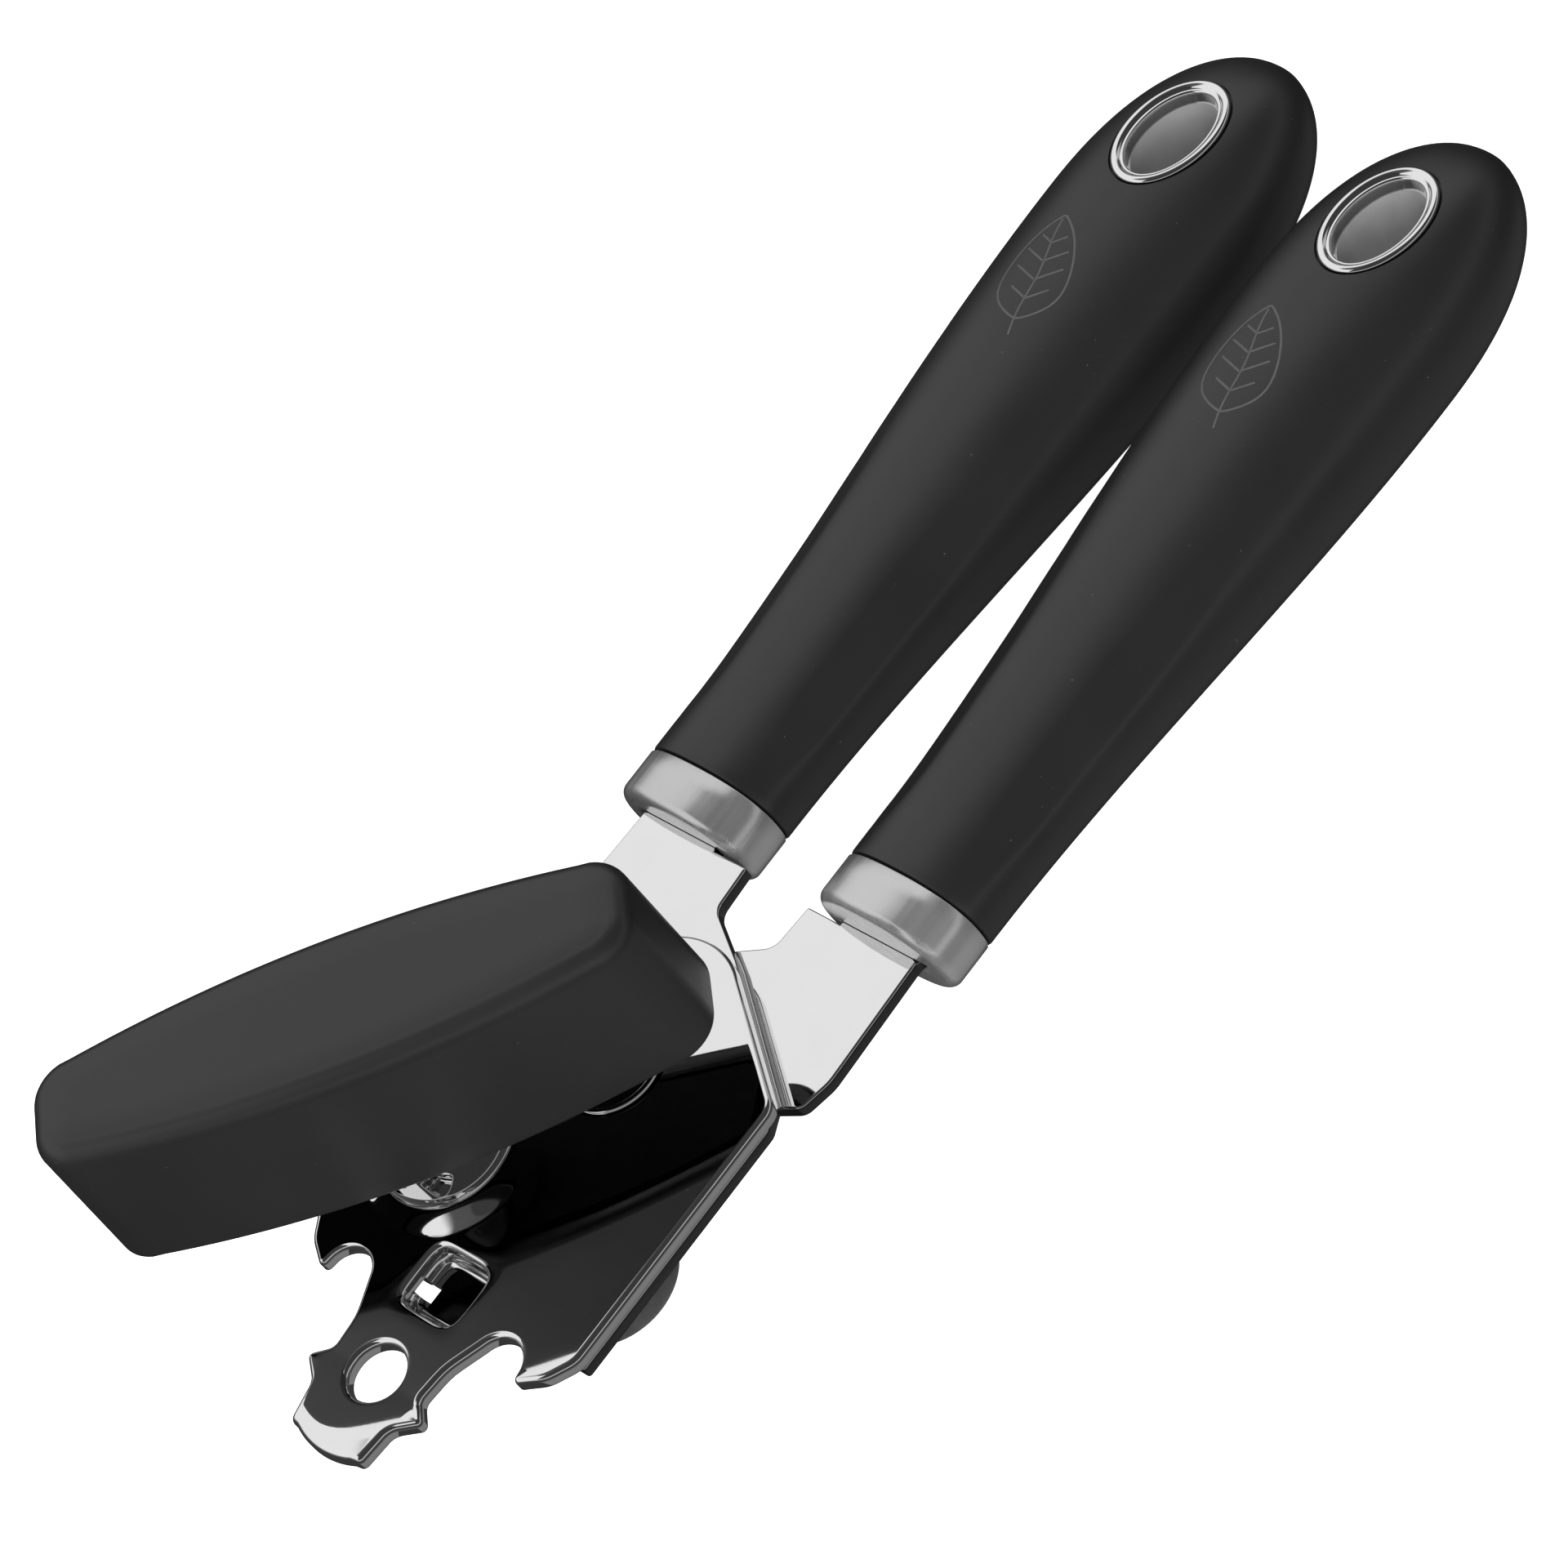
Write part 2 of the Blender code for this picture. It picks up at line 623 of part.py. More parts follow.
def grip_halves(x):
    """Half-width and half-thickness of a grip at x."""
    length = GRIP_END - GRIP_X
    share = (x - GRIP_X) / length
    swell = min(share / GRIP_WIDEST, 1.0)
    swell = swell * swell * (3 - 2 * swell)
    half_w = GRIP_HALF_W[0] + (GRIP_HALF_W[1] - GRIP_HALF_W[0]) * swell
    half_t = GRIP_HALF_T[0] + (GRIP_HALF_T[1] - GRIP_HALF_T[0]) * swell
    past = max((share - GRIP_WIDEST) / (1 - GRIP_WIDEST), 0.0)
    closing = max(1 - past ** 2.3, 0.0) ** 0.5
    return half_w * closing, half_t * closing


def grip_stations(inset):
    """Places along a grip where it has a ring, closer together towards its round end."""
    last = GRIP_END - inset
    shares = [i / 6 * GRIP_WIDEST for i in range(6)]
    shares += [GRIP_WIDEST + (1 - GRIP_WIDEST) * s for s in (0, 0.3, 0.55, 0.75, 0.88, 0.96, 0.995)]
    return [GRIP_X + (last - GRIP_X) * s for s in shares]


def grip_rings(centre, inset, count):
    """Rings of a grip's skin, or of one that lies inset below it."""
    rings = []
    stretch = (GRIP_END - GRIP_X) / (GRIP_END - inset - GRIP_X)
    for x in grip_stations(inset):
        half_w, half_t = grip_halves(GRIP_X + (x - GRIP_X) * stretch)
        rings.append(oval(x, centre, max(half_w - inset, 0.6 * MM), max(half_t - inset, 0.5 * MM), count))
    return rings


def place_on_eyelet(obj, centre):
    """Stands a piece on the eyelet's axis, which leans with the grip's sloping top."""
    tilt = Matrix.Rotation(EYELET_TILT, 4, "Y")
    obj.data.transform(Matrix.Translation((EYELET_X, centre[0], centre[1])) @ tilt)
    return obj


def eyelet_halves(change):
    """Half-sizes of an oval that lies outside the eyelet's tube by change."""
    return tuple(half - EYELET_RIM + change for half in EYELET_HALF)


def eyelet_cuts(name, centre, seats):
    """The hole for an eyelet's tube, and the seats that its two rims lie in."""
    bore = eyelet_halves(GAP)
    forms = [loft(name + "_hole", [oval_row(bore, -CUT_REACH), oval_row(bore, CUT_REACH)])]
    if seats:
        rim = eyelet_halves(EYELET_RIM + GAP)
        top = [oval_row(rim, EYELET_SEAT[0] - GAP), oval_row(rim, CUT_REACH)]
        back = [oval_row(rim, GAP - EYELET_SEAT[1], BACK_SLOPE), oval_row(rim, -CUT_REACH)]
        forms += [loft(name + "_seat", top), loft(name + "_back_seat", back)]
    return [place_on_eyelet(form, centre) for form in forms]


def make_eyelet(name, centre, parent):
    """Oval metal tube through the grip in two halves, each with a rolled rim on its face."""
    bore = eyelet_halves(-EYELET_TUBE_WALL)
    tube = eyelet_halves(0.0)
    top = ("", 1, EYELET_SEAT[0], 0.0, EYELET_SPLIT)
    back = ("_back", -1, EYELET_SEAT[1], BACK_SLOPE, GAP - EYELET_SPLIT)
    for suffix, side, seat, slope, end in (top, back):
        rows = [
            oval_row(bore, side * (seat + 0.9 * MM), slope),
            oval_row(tube, side * (seat + 1.3 * MM), slope),
            oval_row(EYELET_HALF, side * (seat + 0.6 * MM), slope),
            oval_row(EYELET_HALF, side * seat, slope),
            oval_row(tube, side * seat, slope),
            oval_row(tube, side * end),
            oval_row(bore, side * end),
        ]
        obj = place_on_eyelet(loft(name + suffix, rows, ring=True), centre)
        finish_part(obj, CHROME, parent)


def make_handle(prefix, side, tang_top, parent):
    """Ferrule, hard core, soft grip and hanging eyelet of one handle."""
    centre = (side * HANDLE_Y, HANDLE_Z)
    grip = loft(prefix + "_grip", grip_rings(centre, 0.0, GRIP_SIDES))
    finish_part(grip, BLACK_SOFT, parent)
    hollow = loft(prefix + "_hollow", hollow_rings(centre, GRIP_WALL))
    boolean(grip, hollow, "DIFFERENCE")

    core = loft(prefix + "_core", core_rings(centre))
    finish_part(core, BLACK_CORE, parent)
    slot_low = (FERRULE_X, centre[0] - TAIL_HALF - GAP, tang_top - TANG_T - GAP)
    slot_high = (TAIL_END + GAP, centre[0] + TAIL_HALF + GAP, tang_top + GAP)
    boolean(core, box(prefix + "_tail_slot", slot_low, slot_high), "DIFFERENCE")

    for obj in (grip, core):
        for form in eyelet_cuts(obj.name, centre, seats=obj is grip):
            boolean(obj, form, "DIFFERENCE")
    make_eyelet(prefix + "_eyelet", centre, parent)
    make_ferrule(prefix + "_ferrule", side, tang_top, parent)


def hollow_rings(centre, inset):
    """The space inside a grip, which opens at its ferrule end."""
    rings = grip_rings(centre, inset, CORE_SIDES)
    half_w, half_t = GRIP_HALF_W[0] - inset, GRIP_HALF_T[0] - inset
    return [oval(GRIP_X - 1.0 * MM, centre, half_w, half_t, CORE_SIDES)] + rings


def core_rings(centre):
    """The core: a wide nose inside the ferrule, then a body inside the grip."""
    nose_w = GRIP_HALF_W[0] - FERRULE_WALL - GAP
    nose_t = GRIP_HALF_T[0] - FERRULE_WALL - GAP
    start = FERRULE_X + FERRULE_WALL + GAP
    step = GRIP_X - GAP
    inset = GRIP_WALL + GAP
    body = grip_rings(centre, inset, CORE_SIDES)
    nose = [oval(x, centre, nose_w, nose_t, CORE_SIDES) for x in (start, step)]
    first = oval(step, centre, GRIP_HALF_W[0] - inset, GRIP_HALF_T[0] - inset, CORE_SIDES)
    return nose + [first] + body[1:]


def make_ferrule(name, side, tang_top, parent):
    """Oval metal cap on the handle's front, with a slot for the tang."""
    centre = (side * HANDLE_Y, HANDLE_Z)
    half_w, half_t = GRIP_HALF_W[0], GRIP_HALF_T[0]
    outer = []
    for back, inset in ((0.0, 1.5 * MM), (0.4 * MM, 0.6 * MM), (1.5 * MM, 0.0), (FERRULE_L, 0.0)):
        outer.append(oval(FERRULE_X + back, centre, half_w - inset, half_t - inset, FERRULE_SIDES))
    ferrule = loft(name, outer)
    finish_part(ferrule, BRUSHED, parent)
    wall = FERRULE_WALL
    ends = (FERRULE_X + wall, FERRULE_X + FERRULE_L + 1.0 * MM)
    inside = [oval(x, centre, half_w - wall, half_t - wall, FERRULE_SIDES) for x in ends]
    boolean(ferrule, loft(name + "_inside", inside), "DIFFERENCE")
    reach = TANG_HALF + GAP
    low = (FERRULE_X - 1.0 * MM, centre[0] - reach, tang_top - TANG_T - GAP)
    high = (FERRULE_X + wall + 0.5 * MM, centre[0] + reach, tang_top + GAP)
    boolean(ferrule, box(name + "_slot", low, high), "DIFFERENCE")


# ---------------------------------------------------------------- the whole tool

def build():
    frame = empty("head_frame", HEAD_AT)
    make_front_plate(frame)
    make_tang("right_tang", -1, RIGHT_TANG_TOP, frame)
    make_pivot(frame)
    make_shaft_bearing(frame)
    make_handle("right", -1, RIGHT_TANG_TOP, frame)

    lever = empty("left_lever_axis", (*PIVOT, 0.0), frame)
    on_lever = empty("left_lever_frame", (-PIVOT[0], -PIVOT[1], 0.0), lever)
    make_tang("left_tang", 1, LEFT_TANG_TOP, on_lever)
    make_handle("left", 1, LEFT_TANG_TOP, on_lever)
    make_cutter_axle(on_lever)

    wheel_axis = empty("cutting_wheel_axis", (*CUTTER, 0.0), on_lever)
    make_cutting_wheel(wheel_axis)

    knob_axis = empty("knob_axis", (*SHAFT, 0.0), frame)
    knob_axis.rotation_euler = (0.0, 0.0, KNOB_TURN)
    make_drive_shaft(knob_axis)
    make_feed_wheel(knob_axis)
    make_knob(knob_axis)
    make_knob_washers(knob_axis)


clear_scene()
PARTS = new_collection("can_opener")
CUTTERS = new_collection("cutters")
build()
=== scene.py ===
"""Looks of the manual can opener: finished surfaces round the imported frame, studio and camera.

Shapes are worked out in the head frame, in millimetres: its origin is the middle of the tip hole on
the front plate's top face, +X runs towards the handles, +Y towards the left handle, +Z to the knob.
"""

import math

import bmesh
import bpy
from mathutils import Matrix, Vector
from mathutils.geometry import delaunay_2d_cdt


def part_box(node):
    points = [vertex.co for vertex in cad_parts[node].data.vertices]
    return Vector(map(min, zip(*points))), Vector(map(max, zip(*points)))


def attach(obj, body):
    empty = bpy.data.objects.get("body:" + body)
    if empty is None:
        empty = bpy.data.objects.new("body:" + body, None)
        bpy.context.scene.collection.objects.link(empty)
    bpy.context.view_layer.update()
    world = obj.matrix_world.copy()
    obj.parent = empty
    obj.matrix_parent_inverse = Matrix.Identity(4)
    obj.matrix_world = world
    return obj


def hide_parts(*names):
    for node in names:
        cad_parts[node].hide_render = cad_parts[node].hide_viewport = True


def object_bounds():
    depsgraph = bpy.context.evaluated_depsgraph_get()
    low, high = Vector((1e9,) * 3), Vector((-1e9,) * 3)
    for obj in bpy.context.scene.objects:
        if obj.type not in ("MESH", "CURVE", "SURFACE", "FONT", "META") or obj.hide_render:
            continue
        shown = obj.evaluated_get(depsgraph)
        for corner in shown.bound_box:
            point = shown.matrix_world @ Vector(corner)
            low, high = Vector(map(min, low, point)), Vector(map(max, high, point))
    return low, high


MM = 0.001
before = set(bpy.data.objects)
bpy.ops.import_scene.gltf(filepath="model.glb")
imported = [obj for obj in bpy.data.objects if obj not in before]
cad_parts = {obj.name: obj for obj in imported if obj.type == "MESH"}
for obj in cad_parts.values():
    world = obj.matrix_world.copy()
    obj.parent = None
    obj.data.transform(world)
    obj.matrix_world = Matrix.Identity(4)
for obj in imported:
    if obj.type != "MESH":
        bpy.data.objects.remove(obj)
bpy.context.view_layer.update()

# ---------------------------------------------------------------- driving dimensions

# Front plate.
TIP_REACH = 11.47                 # from the tip hole's middle to the plate's tip
PLATE_TOP_DROP = 1.5              # the flat face lies this far below the top of the plate's box
BOSS_H = 1.5
BOSS_FOOT_R = 12.2                # where the boss starts to rise from the flat plate
BOSS_TOP_R = 9.1
PLATE_T = 2.2
TANG_T = 2.0
TANG_END_HALF = 7.4               # half the width of the tang's end in the ferrule
EDGE_R = 0.85                     # rounding of the plate's upper edge
TANG_EDGE_R = 0.35
LOWER_EDGE_R = 0.3
TIP_BEND = (2.1, 1.0, 11.25)      # middle and radius of the circle beyond which the tip bends down
TIP_BEND_SLOPE = math.tan(math.radians(12))
TIP_BEND_SOFT = 0.3
TIP_BEND_FROM = -1.0              # the bend sets in from here towards the tip
TIP_BEND_SPREAD = 4.0
TIP_LIFT_SLOPE = 0.042            # the tip rises a little before its bend
TIP_LIFT_FROM = -0.5
TIP_LIFT_SOFT = 0.4
TIP_HOLE_R = 3.9
RIVET_HOLE_R = 3.0
AXLE_HOLE_R = 3.5
SHAFT_HOLE_R = 6.3
POCKET = (13.2, 0.0)
POCKET_HALF = (4.3, 4.8)
POCKET_DEPTH = 3.3
POCKET_POWER = 5.0
POCKET_WALL = 0.9
POCKET_FILLET = 0.9
POCKET_SEAM = 0.35                # the cup starts this far above the plate's underside
POCKET_HALO = (0.16, 1.1)         # depth and reach of the dip round the pocket
POCKET_WINDOW = ((11.0, 2.6, -6.0), (13.2, 7.0, -1.75))   # two corners of the opening in its side
COLLAR_R = 9.0
COLLAR_BORE_R = 7.3
NORMAL_STEP = 0.05                # for the slope of a pressed face

# Handles.
GRIP_POWER = 2.4                  # 2 is an ellipse, more is squarer
GRIP_HALF_W = (11.0, 15.4)        # at the ferrule, and at the widest place
GRIP_HALF_T = (7.1, 10.9)
GRIP_WIDEST = 0.75
GRIP_CLOSING = 2.3
GRIP_NECK_INSET = 1.5             # the grip's neck goes into the ferrule
FACET_DEPTH = 0.55                # how far the grip's shoulders are flattened
FACET_END = 0.56                  # shares of the grip's length
FACET_START_SPREAD = 0.12
FACET_END_SPREAD = 0.28
FACET_SOFT = 0.12
FACET_LEAN = math.radians(38)
EYELET_FROM_END = 19.0
EYELET_TILT = math.radians(8)
EYELET_HALF = (9.1, 6.85)
EYELET_RIM = 1.7
EYELET_TUBE_WALL = 0.3
EYELET_SEAT = (9.3, 8.6)          # heights of the upper and lower rims' seats from the grip's middle
HOLE_MARGIN = 0.3
FERRULE_EDGE = 1.5
FERRULE_WALL = 1.1
SLOT_HALF = 7.7
SLOT_MARGIN = 0.6
BACK_SLOPE = math.tan(2 * EYELET_TILT)
MOTIF_AT = (160.5, 2.4)           # along the tool, and from the grip's middle
MOTIF_SIZE = (15.5, 9.5)
MOTIF_LINE = 0.42
MOTIF_TURN = math.radians(14)

# Knob.
KNOB_L = 80.4
KNOB_W_MID = 22.9
KNOB_W_END = 16.4
KNOB_CORNER = 5.8
KNOB_DRAFT = 0.45
KNOB_TURN = math.radians(-41.9)
KNOB_TOP_EDGE = 2.6
KNOB_LOW_EDGE = 0.9
KNOB_CROWN = 0.25
KNOB_RIM = 2.6                    # thickness of the shell's wall at the knob's open underside

# Camera: it looks down on the tool from the right handle's side, with the head at the lower left.
CAMERA_AZIMUTH = math.radians(-17.42)
CAMERA_ELEVATION = math.radians(46.95)
CAMERA_ROLL = math.radians(-39.25)
CAMERA_DISTANCE = 1.0045
CAMERA_AIM = Vector((-0.00517, 0.00993, 0.00741))
LENS_MM = 187.5

# Studio.
FILL_AT = (-0.7, -1.1, 0.8)
FILL_SIZE = 1.2
FILL_POWER = 38.0
FLOOR_R = 6.0
FLOOR_DROP = 0.0002


def centre(node):
    low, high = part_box(node)
    return (low + high) / 2


plate_low, plate_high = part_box("front_plate")
plate_middle = (plate_low.y + plate_high.y) / 2
HEAD = Vector((plate_low.x + TIP_REACH * MM, plate_middle, plate_high.z - PLATE_TOP_DROP * MM))


def in_head(point):
    """A world point in the head frame, in millimetres."""
    return (point - HEAD) / MM


SHAFT = in_head(centre("shaft_collar"))
PIVOT = in_head(centre("pivot_rivet"))
CUTTER = in_head(centre("cutting_wheel"))
LEFT_TANG_TOP = in_head(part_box("left_tang")[1]).z
RIGHT_TANG_TOP = in_head(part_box("right_tang")[1]).z
FERRULE_X = in_head(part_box("left_ferrule")[0]).x
FERRULE_END = in_head(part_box("left_ferrule")[1]).x
GRIP_X = in_head(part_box("left_grip")[0]).x
GRIP_END = in_head(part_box("left_grip")[1]).x
HANDLE_Y = in_head(centre("left_grip")).y
HANDLE_Z = in_head(centre("left_grip")).z
EYELET_X = GRIP_END - EYELET_FROM_END
KNOB_BASE = in_head(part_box("knob_shell")[0]).z
KNOB_TOP = in_head(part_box("knob_shell")[1]).z
COLLAR_TOP = in_head(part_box("shaft_collar")[1]).z


# ---------------------------------------------------------------- mesh helpers

def smooth_step(value):
    value = min(max(value, 0.0), 1.0)
    return value * value * (3 - 2 * value)


def soft_ramp(value, soft=0.12):
    """0 below 0, 1 above 1 and straight between, with soft bends."""
    def bend(x):
        return (x + math.hypot(x, soft)) / 2
    return bend(value) - bend(value - 1)


def make_object(name, bm, smooth_angle=None):
    """An object from a mesh that was built in the head frame."""
    bmesh.ops.recalc_face_normals(bm, faces=bm.faces)
    mesh = bpy.data.meshes.new(name)
    bm.to_mesh(mesh)
    bm.free()
    mesh.transform(Matrix.Translation(HEAD) @ Matrix.Scale(MM, 4))
    mesh.shade_smooth()
    if smooth_angle:
        mesh.set_sharp_from_angle(angle=math.radians(smooth_angle))
    obj = bpy.data.objects.new(name, mesh)
    bpy.context.scene.collection.objects.link(obj)
    return obj


def bridge(bm, rows, closed=False):
    """Faces between neighbouring rows of vertices, each row a closed loop."""
    pairs = list(zip(rows, rows[1:]))
    if closed:
        pairs.append((rows[-1], rows[0]))
    for row, following in pairs:
        for i in range(len(row)):
            j = (i + 1) % len(row)
            bm.faces.new((row[i], row[j], following[j], following[i]))


def fan(bm, row, point):
    tip = bm.verts.new(point)
    for i in range(len(row)):
        bm.faces.new((row[i], row[(i + 1) % len(row)], tip))


def loft(name, rings, ends=(None, None), closed=False, smooth_angle=None):
    """A skin over rings of points. An end is a point that its ring closes to, or "flat"."""
    bm = bmesh.new()
    rows = [[bm.verts.new(point) for point in ring] for ring in rings]
    bridge(bm, rows, closed)
    for row, end in zip((rows[0], rows[-1]), ends):
        if end == "flat":
            bm.faces.new(row)
        elif end is not None:
            fan(bm, row, end)
    return make_object(name, bm, smooth_angle)


def turned(name, profile, axis, segments=128, closed=False, smooth_angle=40):
    """A turned piece: its profile is (radius, height) from the middle of its top down its side."""
    rings = []
    for radius, height in profile:
        ring = []
        for i in range(segments):
            angle = 2 * math.pi * i / segments
            ring.append((axis.x + radius * math.cos(angle), axis.y + radius * math.sin(angle), height))
        rings.append(ring)
    if closed:
        return loft(name, rings, closed=True, smooth_angle=smooth_angle)
    ends = ((axis.x, axis.y, profile[0][1]), (axis.x, axis.y, profile[-1][1]))
    return loft(name, rings, ends, smooth_angle=smooth_angle)


def arc(centre_at, radius, start, end, count):
    """Points on an arc, angles in degrees."""
    points = []
    for i in range(count + 1):
        angle = math.radians(start + (end - start) * i / count)
        points.append((centre_at[0] + radius * math.cos(angle), centre_at[1] + radius * math.sin(angle)))
    return points


def rounded(corners, step=math.radians(7)):
    """A closed outline with round corners; each corner is (x, y, radius)."""
    outline = []
    for i, (x, y, radius) in enumerate(corners):
        corner = Vector((x, y))
        before = Vector(corners[i - 1][:2]) - corner
        after = Vector(corners[(i + 1) % len(corners)][:2]) - corner
        if radius == 0:
            outline.append((x, y))
            continue
        half = before.angle(after) / 2
        reach = min(radius / math.tan(half), 0.49 * before.length, 0.49 * after.length)
        radius = reach * math.tan(half)
        middle = corner + (before.normalized() + after.normalized()).normalized() * radius / math.sin(half)
        start = corner + before.normalized() * reach - middle
        end = corner + after.normalized() * reach - middle
        sweep = -start.angle_signed(end)
        count = max(2, math.ceil(abs(sweep) / step))
        for k in range(count + 1):
            turn = Matrix.Rotation(sweep * k / count, 2)
            outline.append(tuple(middle + turn @ start))
    return outline


def mirrored(points):
    """The rest of an outline that is the same on both sides of the X axis."""
    return [(p[0], -p[1], *p[2:]) for p in reversed(points)]


def inward(loop, i):
    """The direction into the material at a point of a loop that has the material on its left."""
    here = Vector(loop[i])
    before = (here - Vector(loop[i - 1])).normalized()
    after = (Vector(loop[(i + 1) % len(loop)]) - here).normalized()
    normal = Vector((-before.y - after.y, before.x + after.x))
    normal.normalize()
    return normal / max(normal.dot(Vector((-before.y, before.x))), 0.6)


def is_material(x, y, loops):
    """Whether a point lies within an odd number of the loops."""
    inside = False
    for loop in loops:
        for i, (x1, y1) in enumerate(loop):
            x0, y0 = loop[i - 1]
            if (y0 > y) != (y1 > y) and x < x0 + (y - y0) * (x1 - x0) / (y1 - y0):
                inside = not inside
    return inside


def fill(bm, rows, loops, extra, z):
    """Fills the flat region between rows of vertices; extra points there are added to its mesh."""
    points = [Vector(point) for loop in loops for point in loop] + [Vector(p) for p in extra]
    verts = [vert for row in rows for vert in row] + [bm.verts.new((x, y, z)) for x, y in extra]
    edges = []
    first = 0
    for loop in loops:
        edges += [(first + i, first + (i + 1) % len(loop)) for i in range(len(loop))]
        first += len(loop)
    result = delaunay_2d_cdt(points, edges, [], 0, 1e-4)
    places, triangles, origins = result[0], result[2], result[3]
    corners = []
    for place, found in zip(places, origins):
        corners.append(verts[found[0]] if found else bm.verts.new((*place, z)))
    for triangle in triangles:
        middle = sum((places[i] for i in triangle), Vector((0, 0))) / 3
        if is_material(middle.x, middle.y, loops):
            bm.faces.new([corners[i] for i in triangle])
    return corners


def edge_profile(upper, lower, top, bottom, count=8):
    """(inset, height) down the rounded edge of a sheet."""
    profile = []
    for i in range(count + 1):
        angle = math.pi / 2 * i / count
        profile.append((upper * (1 - math.sin(angle)), top - upper * (1 - math.cos(angle))))
    for i in range(4):
        angle = math.pi / 2 * i / 3
        profile.append((lower * (1 - math.cos(angle)), bottom + lower * (1 - math.sin(angle))))
    return profile


def nearest(point, loop):
    """Distance from a point to a loop."""
    best = 1e9
    for i, end in enumerate(loop):
        start = Vector(loop[i - 1])
        along = Vector(end) - start
        share = min(max((point - start).dot(along) / along.length_squared, 0.0), 1.0)
        best = min(best, (point - start - along * share).length)
    return best


def inset_loop(loop, reach):
    """The loop moved into the material; where it would cross itself its points come together."""
    moved = [Vector(point) + inward(loop, i) * reach for i, point in enumerate(loop)]
    if reach < 0.01:
        return [tuple(point) for point in moved]
    good = [nearest(point, loop) > 0.985 * reach for point in moved]
    count = len(loop)
    result = []
    for i in range(count):
        if good[i]:
            result.append(tuple(moved[i]))
            continue
        back = next(k for k in range(1, count) if good[i - k])
        ahead = next(k for k in range(1, count) if good[(i + k) % count])
        result.append(tuple(moved[i - back].lerp(moved[(i + ahead) % count], back / (back + ahead))))
    return result


def add_rows(bm, rings):
    rows = [[bm.verts.new(point) for point in ring] for ring in rings]
    bridge(bm, rows)
    return rows


def sheet_piece(name, loops, top, thickness, upper=EDGE_R, height=None, extra=()):
    """A sheet-metal piece with rounded edges. The first loop is its outline, the others are holes.

    height(x, y) is how far the press moved the sheet there.
    """
    bm = bmesh.new()
    bottom = top - thickness
    rows = [[], []]
    borders = [[], []]
    for loop in loops:
        rings = []
        for inset, z in edge_profile(upper, LOWER_EDGE_R, top, bottom):
            rings.append([(x, y, z) for x, y in inset_loop(loop, inset)])
        edge = add_rows(bm, rings)
        for face, k in enumerate((0, -1)):
            rows[face].append(edge[k])
            borders[face].append([point[:2] for point in rings[k]])
    bm.verts.index_update()
    flat = {}
    for face, z in enumerate((top, bottom)):
        for vert in fill(bm, rows[face], borders[face], extra, z):
            flat[vert] = 1.0 - 2.0 * face
    bm.verts.index_update()
    flat = {vert.index: side for vert, side in flat.items()}
    places = [vert.co.copy() for vert in bm.verts]
    if height:
        for vert in bm.verts:
            vert.co.z += height(vert.co.x, vert.co.y)
    obj = make_object(name, bm)
    smooth_faces(obj.data, flat, places, height)
    return obj


def smooth_faces(mesh, flat, places, height):
    """Exact normals for the pressed faces; flat tells the side of each of their vertices."""
    normals = []
    for vert in mesh.vertices:
        normal = vert.normal.copy()
        if vert.index in flat:
            normal = Vector((0.0, 0.0, 1.0))
            if height:
                x, y = places[vert.index].xy
                step = NORMAL_STEP
                normal.x = (height(x - step, y) - height(x + step, y)) / (2 * step)
                normal.y = (height(x, y - step) - height(x, y + step)) / (2 * step)
            normal = normal.normalized() * flat[vert.index]
        normals.append(normal)
    mesh.normals_split_custom_set_from_vertices(normals)


def superellipse(half_a, half_b, count, power=2.0):
    """A closed oval; a power of 2 is an ellipse, more is squarer."""
    points = []
    for i in range(count):
        angle = 2 * math.pi * i / count
        cosine = math.cos(angle)
        sine = math.sin(angle)
        radius = (abs(cosine / half_a) ** power + abs(sine / half_b) ** power) ** (-1 / power)
        points.append((radius * cosine, radius * sine))
    return points


def cut(obj, other):
    """Takes one piece's shape out of another."""
    modifier = obj.modifiers.new("Cut", "BOOLEAN")
    modifier.operation = "DIFFERENCE"
    modifier.solver = "EXACT"
    modifier.object = other
    bpy.context.view_layer.update()
    graph = bpy.context.evaluated_depsgraph_get()
    mesh = bpy.data.meshes.new_from_object(obj.evaluated_get(graph))
    obj.modifiers.clear()
    obj.data = mesh
    bpy.data.objects.remove(other, do_unlink=True)


def cut_block(obj, size, middle):
    """Takes a block out of a piece; size and middle are in the head frame."""
    bm = bmesh.new()
    bmesh.ops.create_cube(bm, size=1.0)
    bmesh.ops.scale(bm, vec=size, verts=bm.verts)
    bmesh.ops.translate(bm, vec=middle, verts=bm.verts)
    cut(obj, make_object("block_form", bm))


def smooth_after_cut(obj, sharp_angle):
    obj.data.shade_smooth()
    obj.data.set_sharp_from_angle(angle=math.radians(sharp_angle))


# ---------------------------------------------------------------- materials

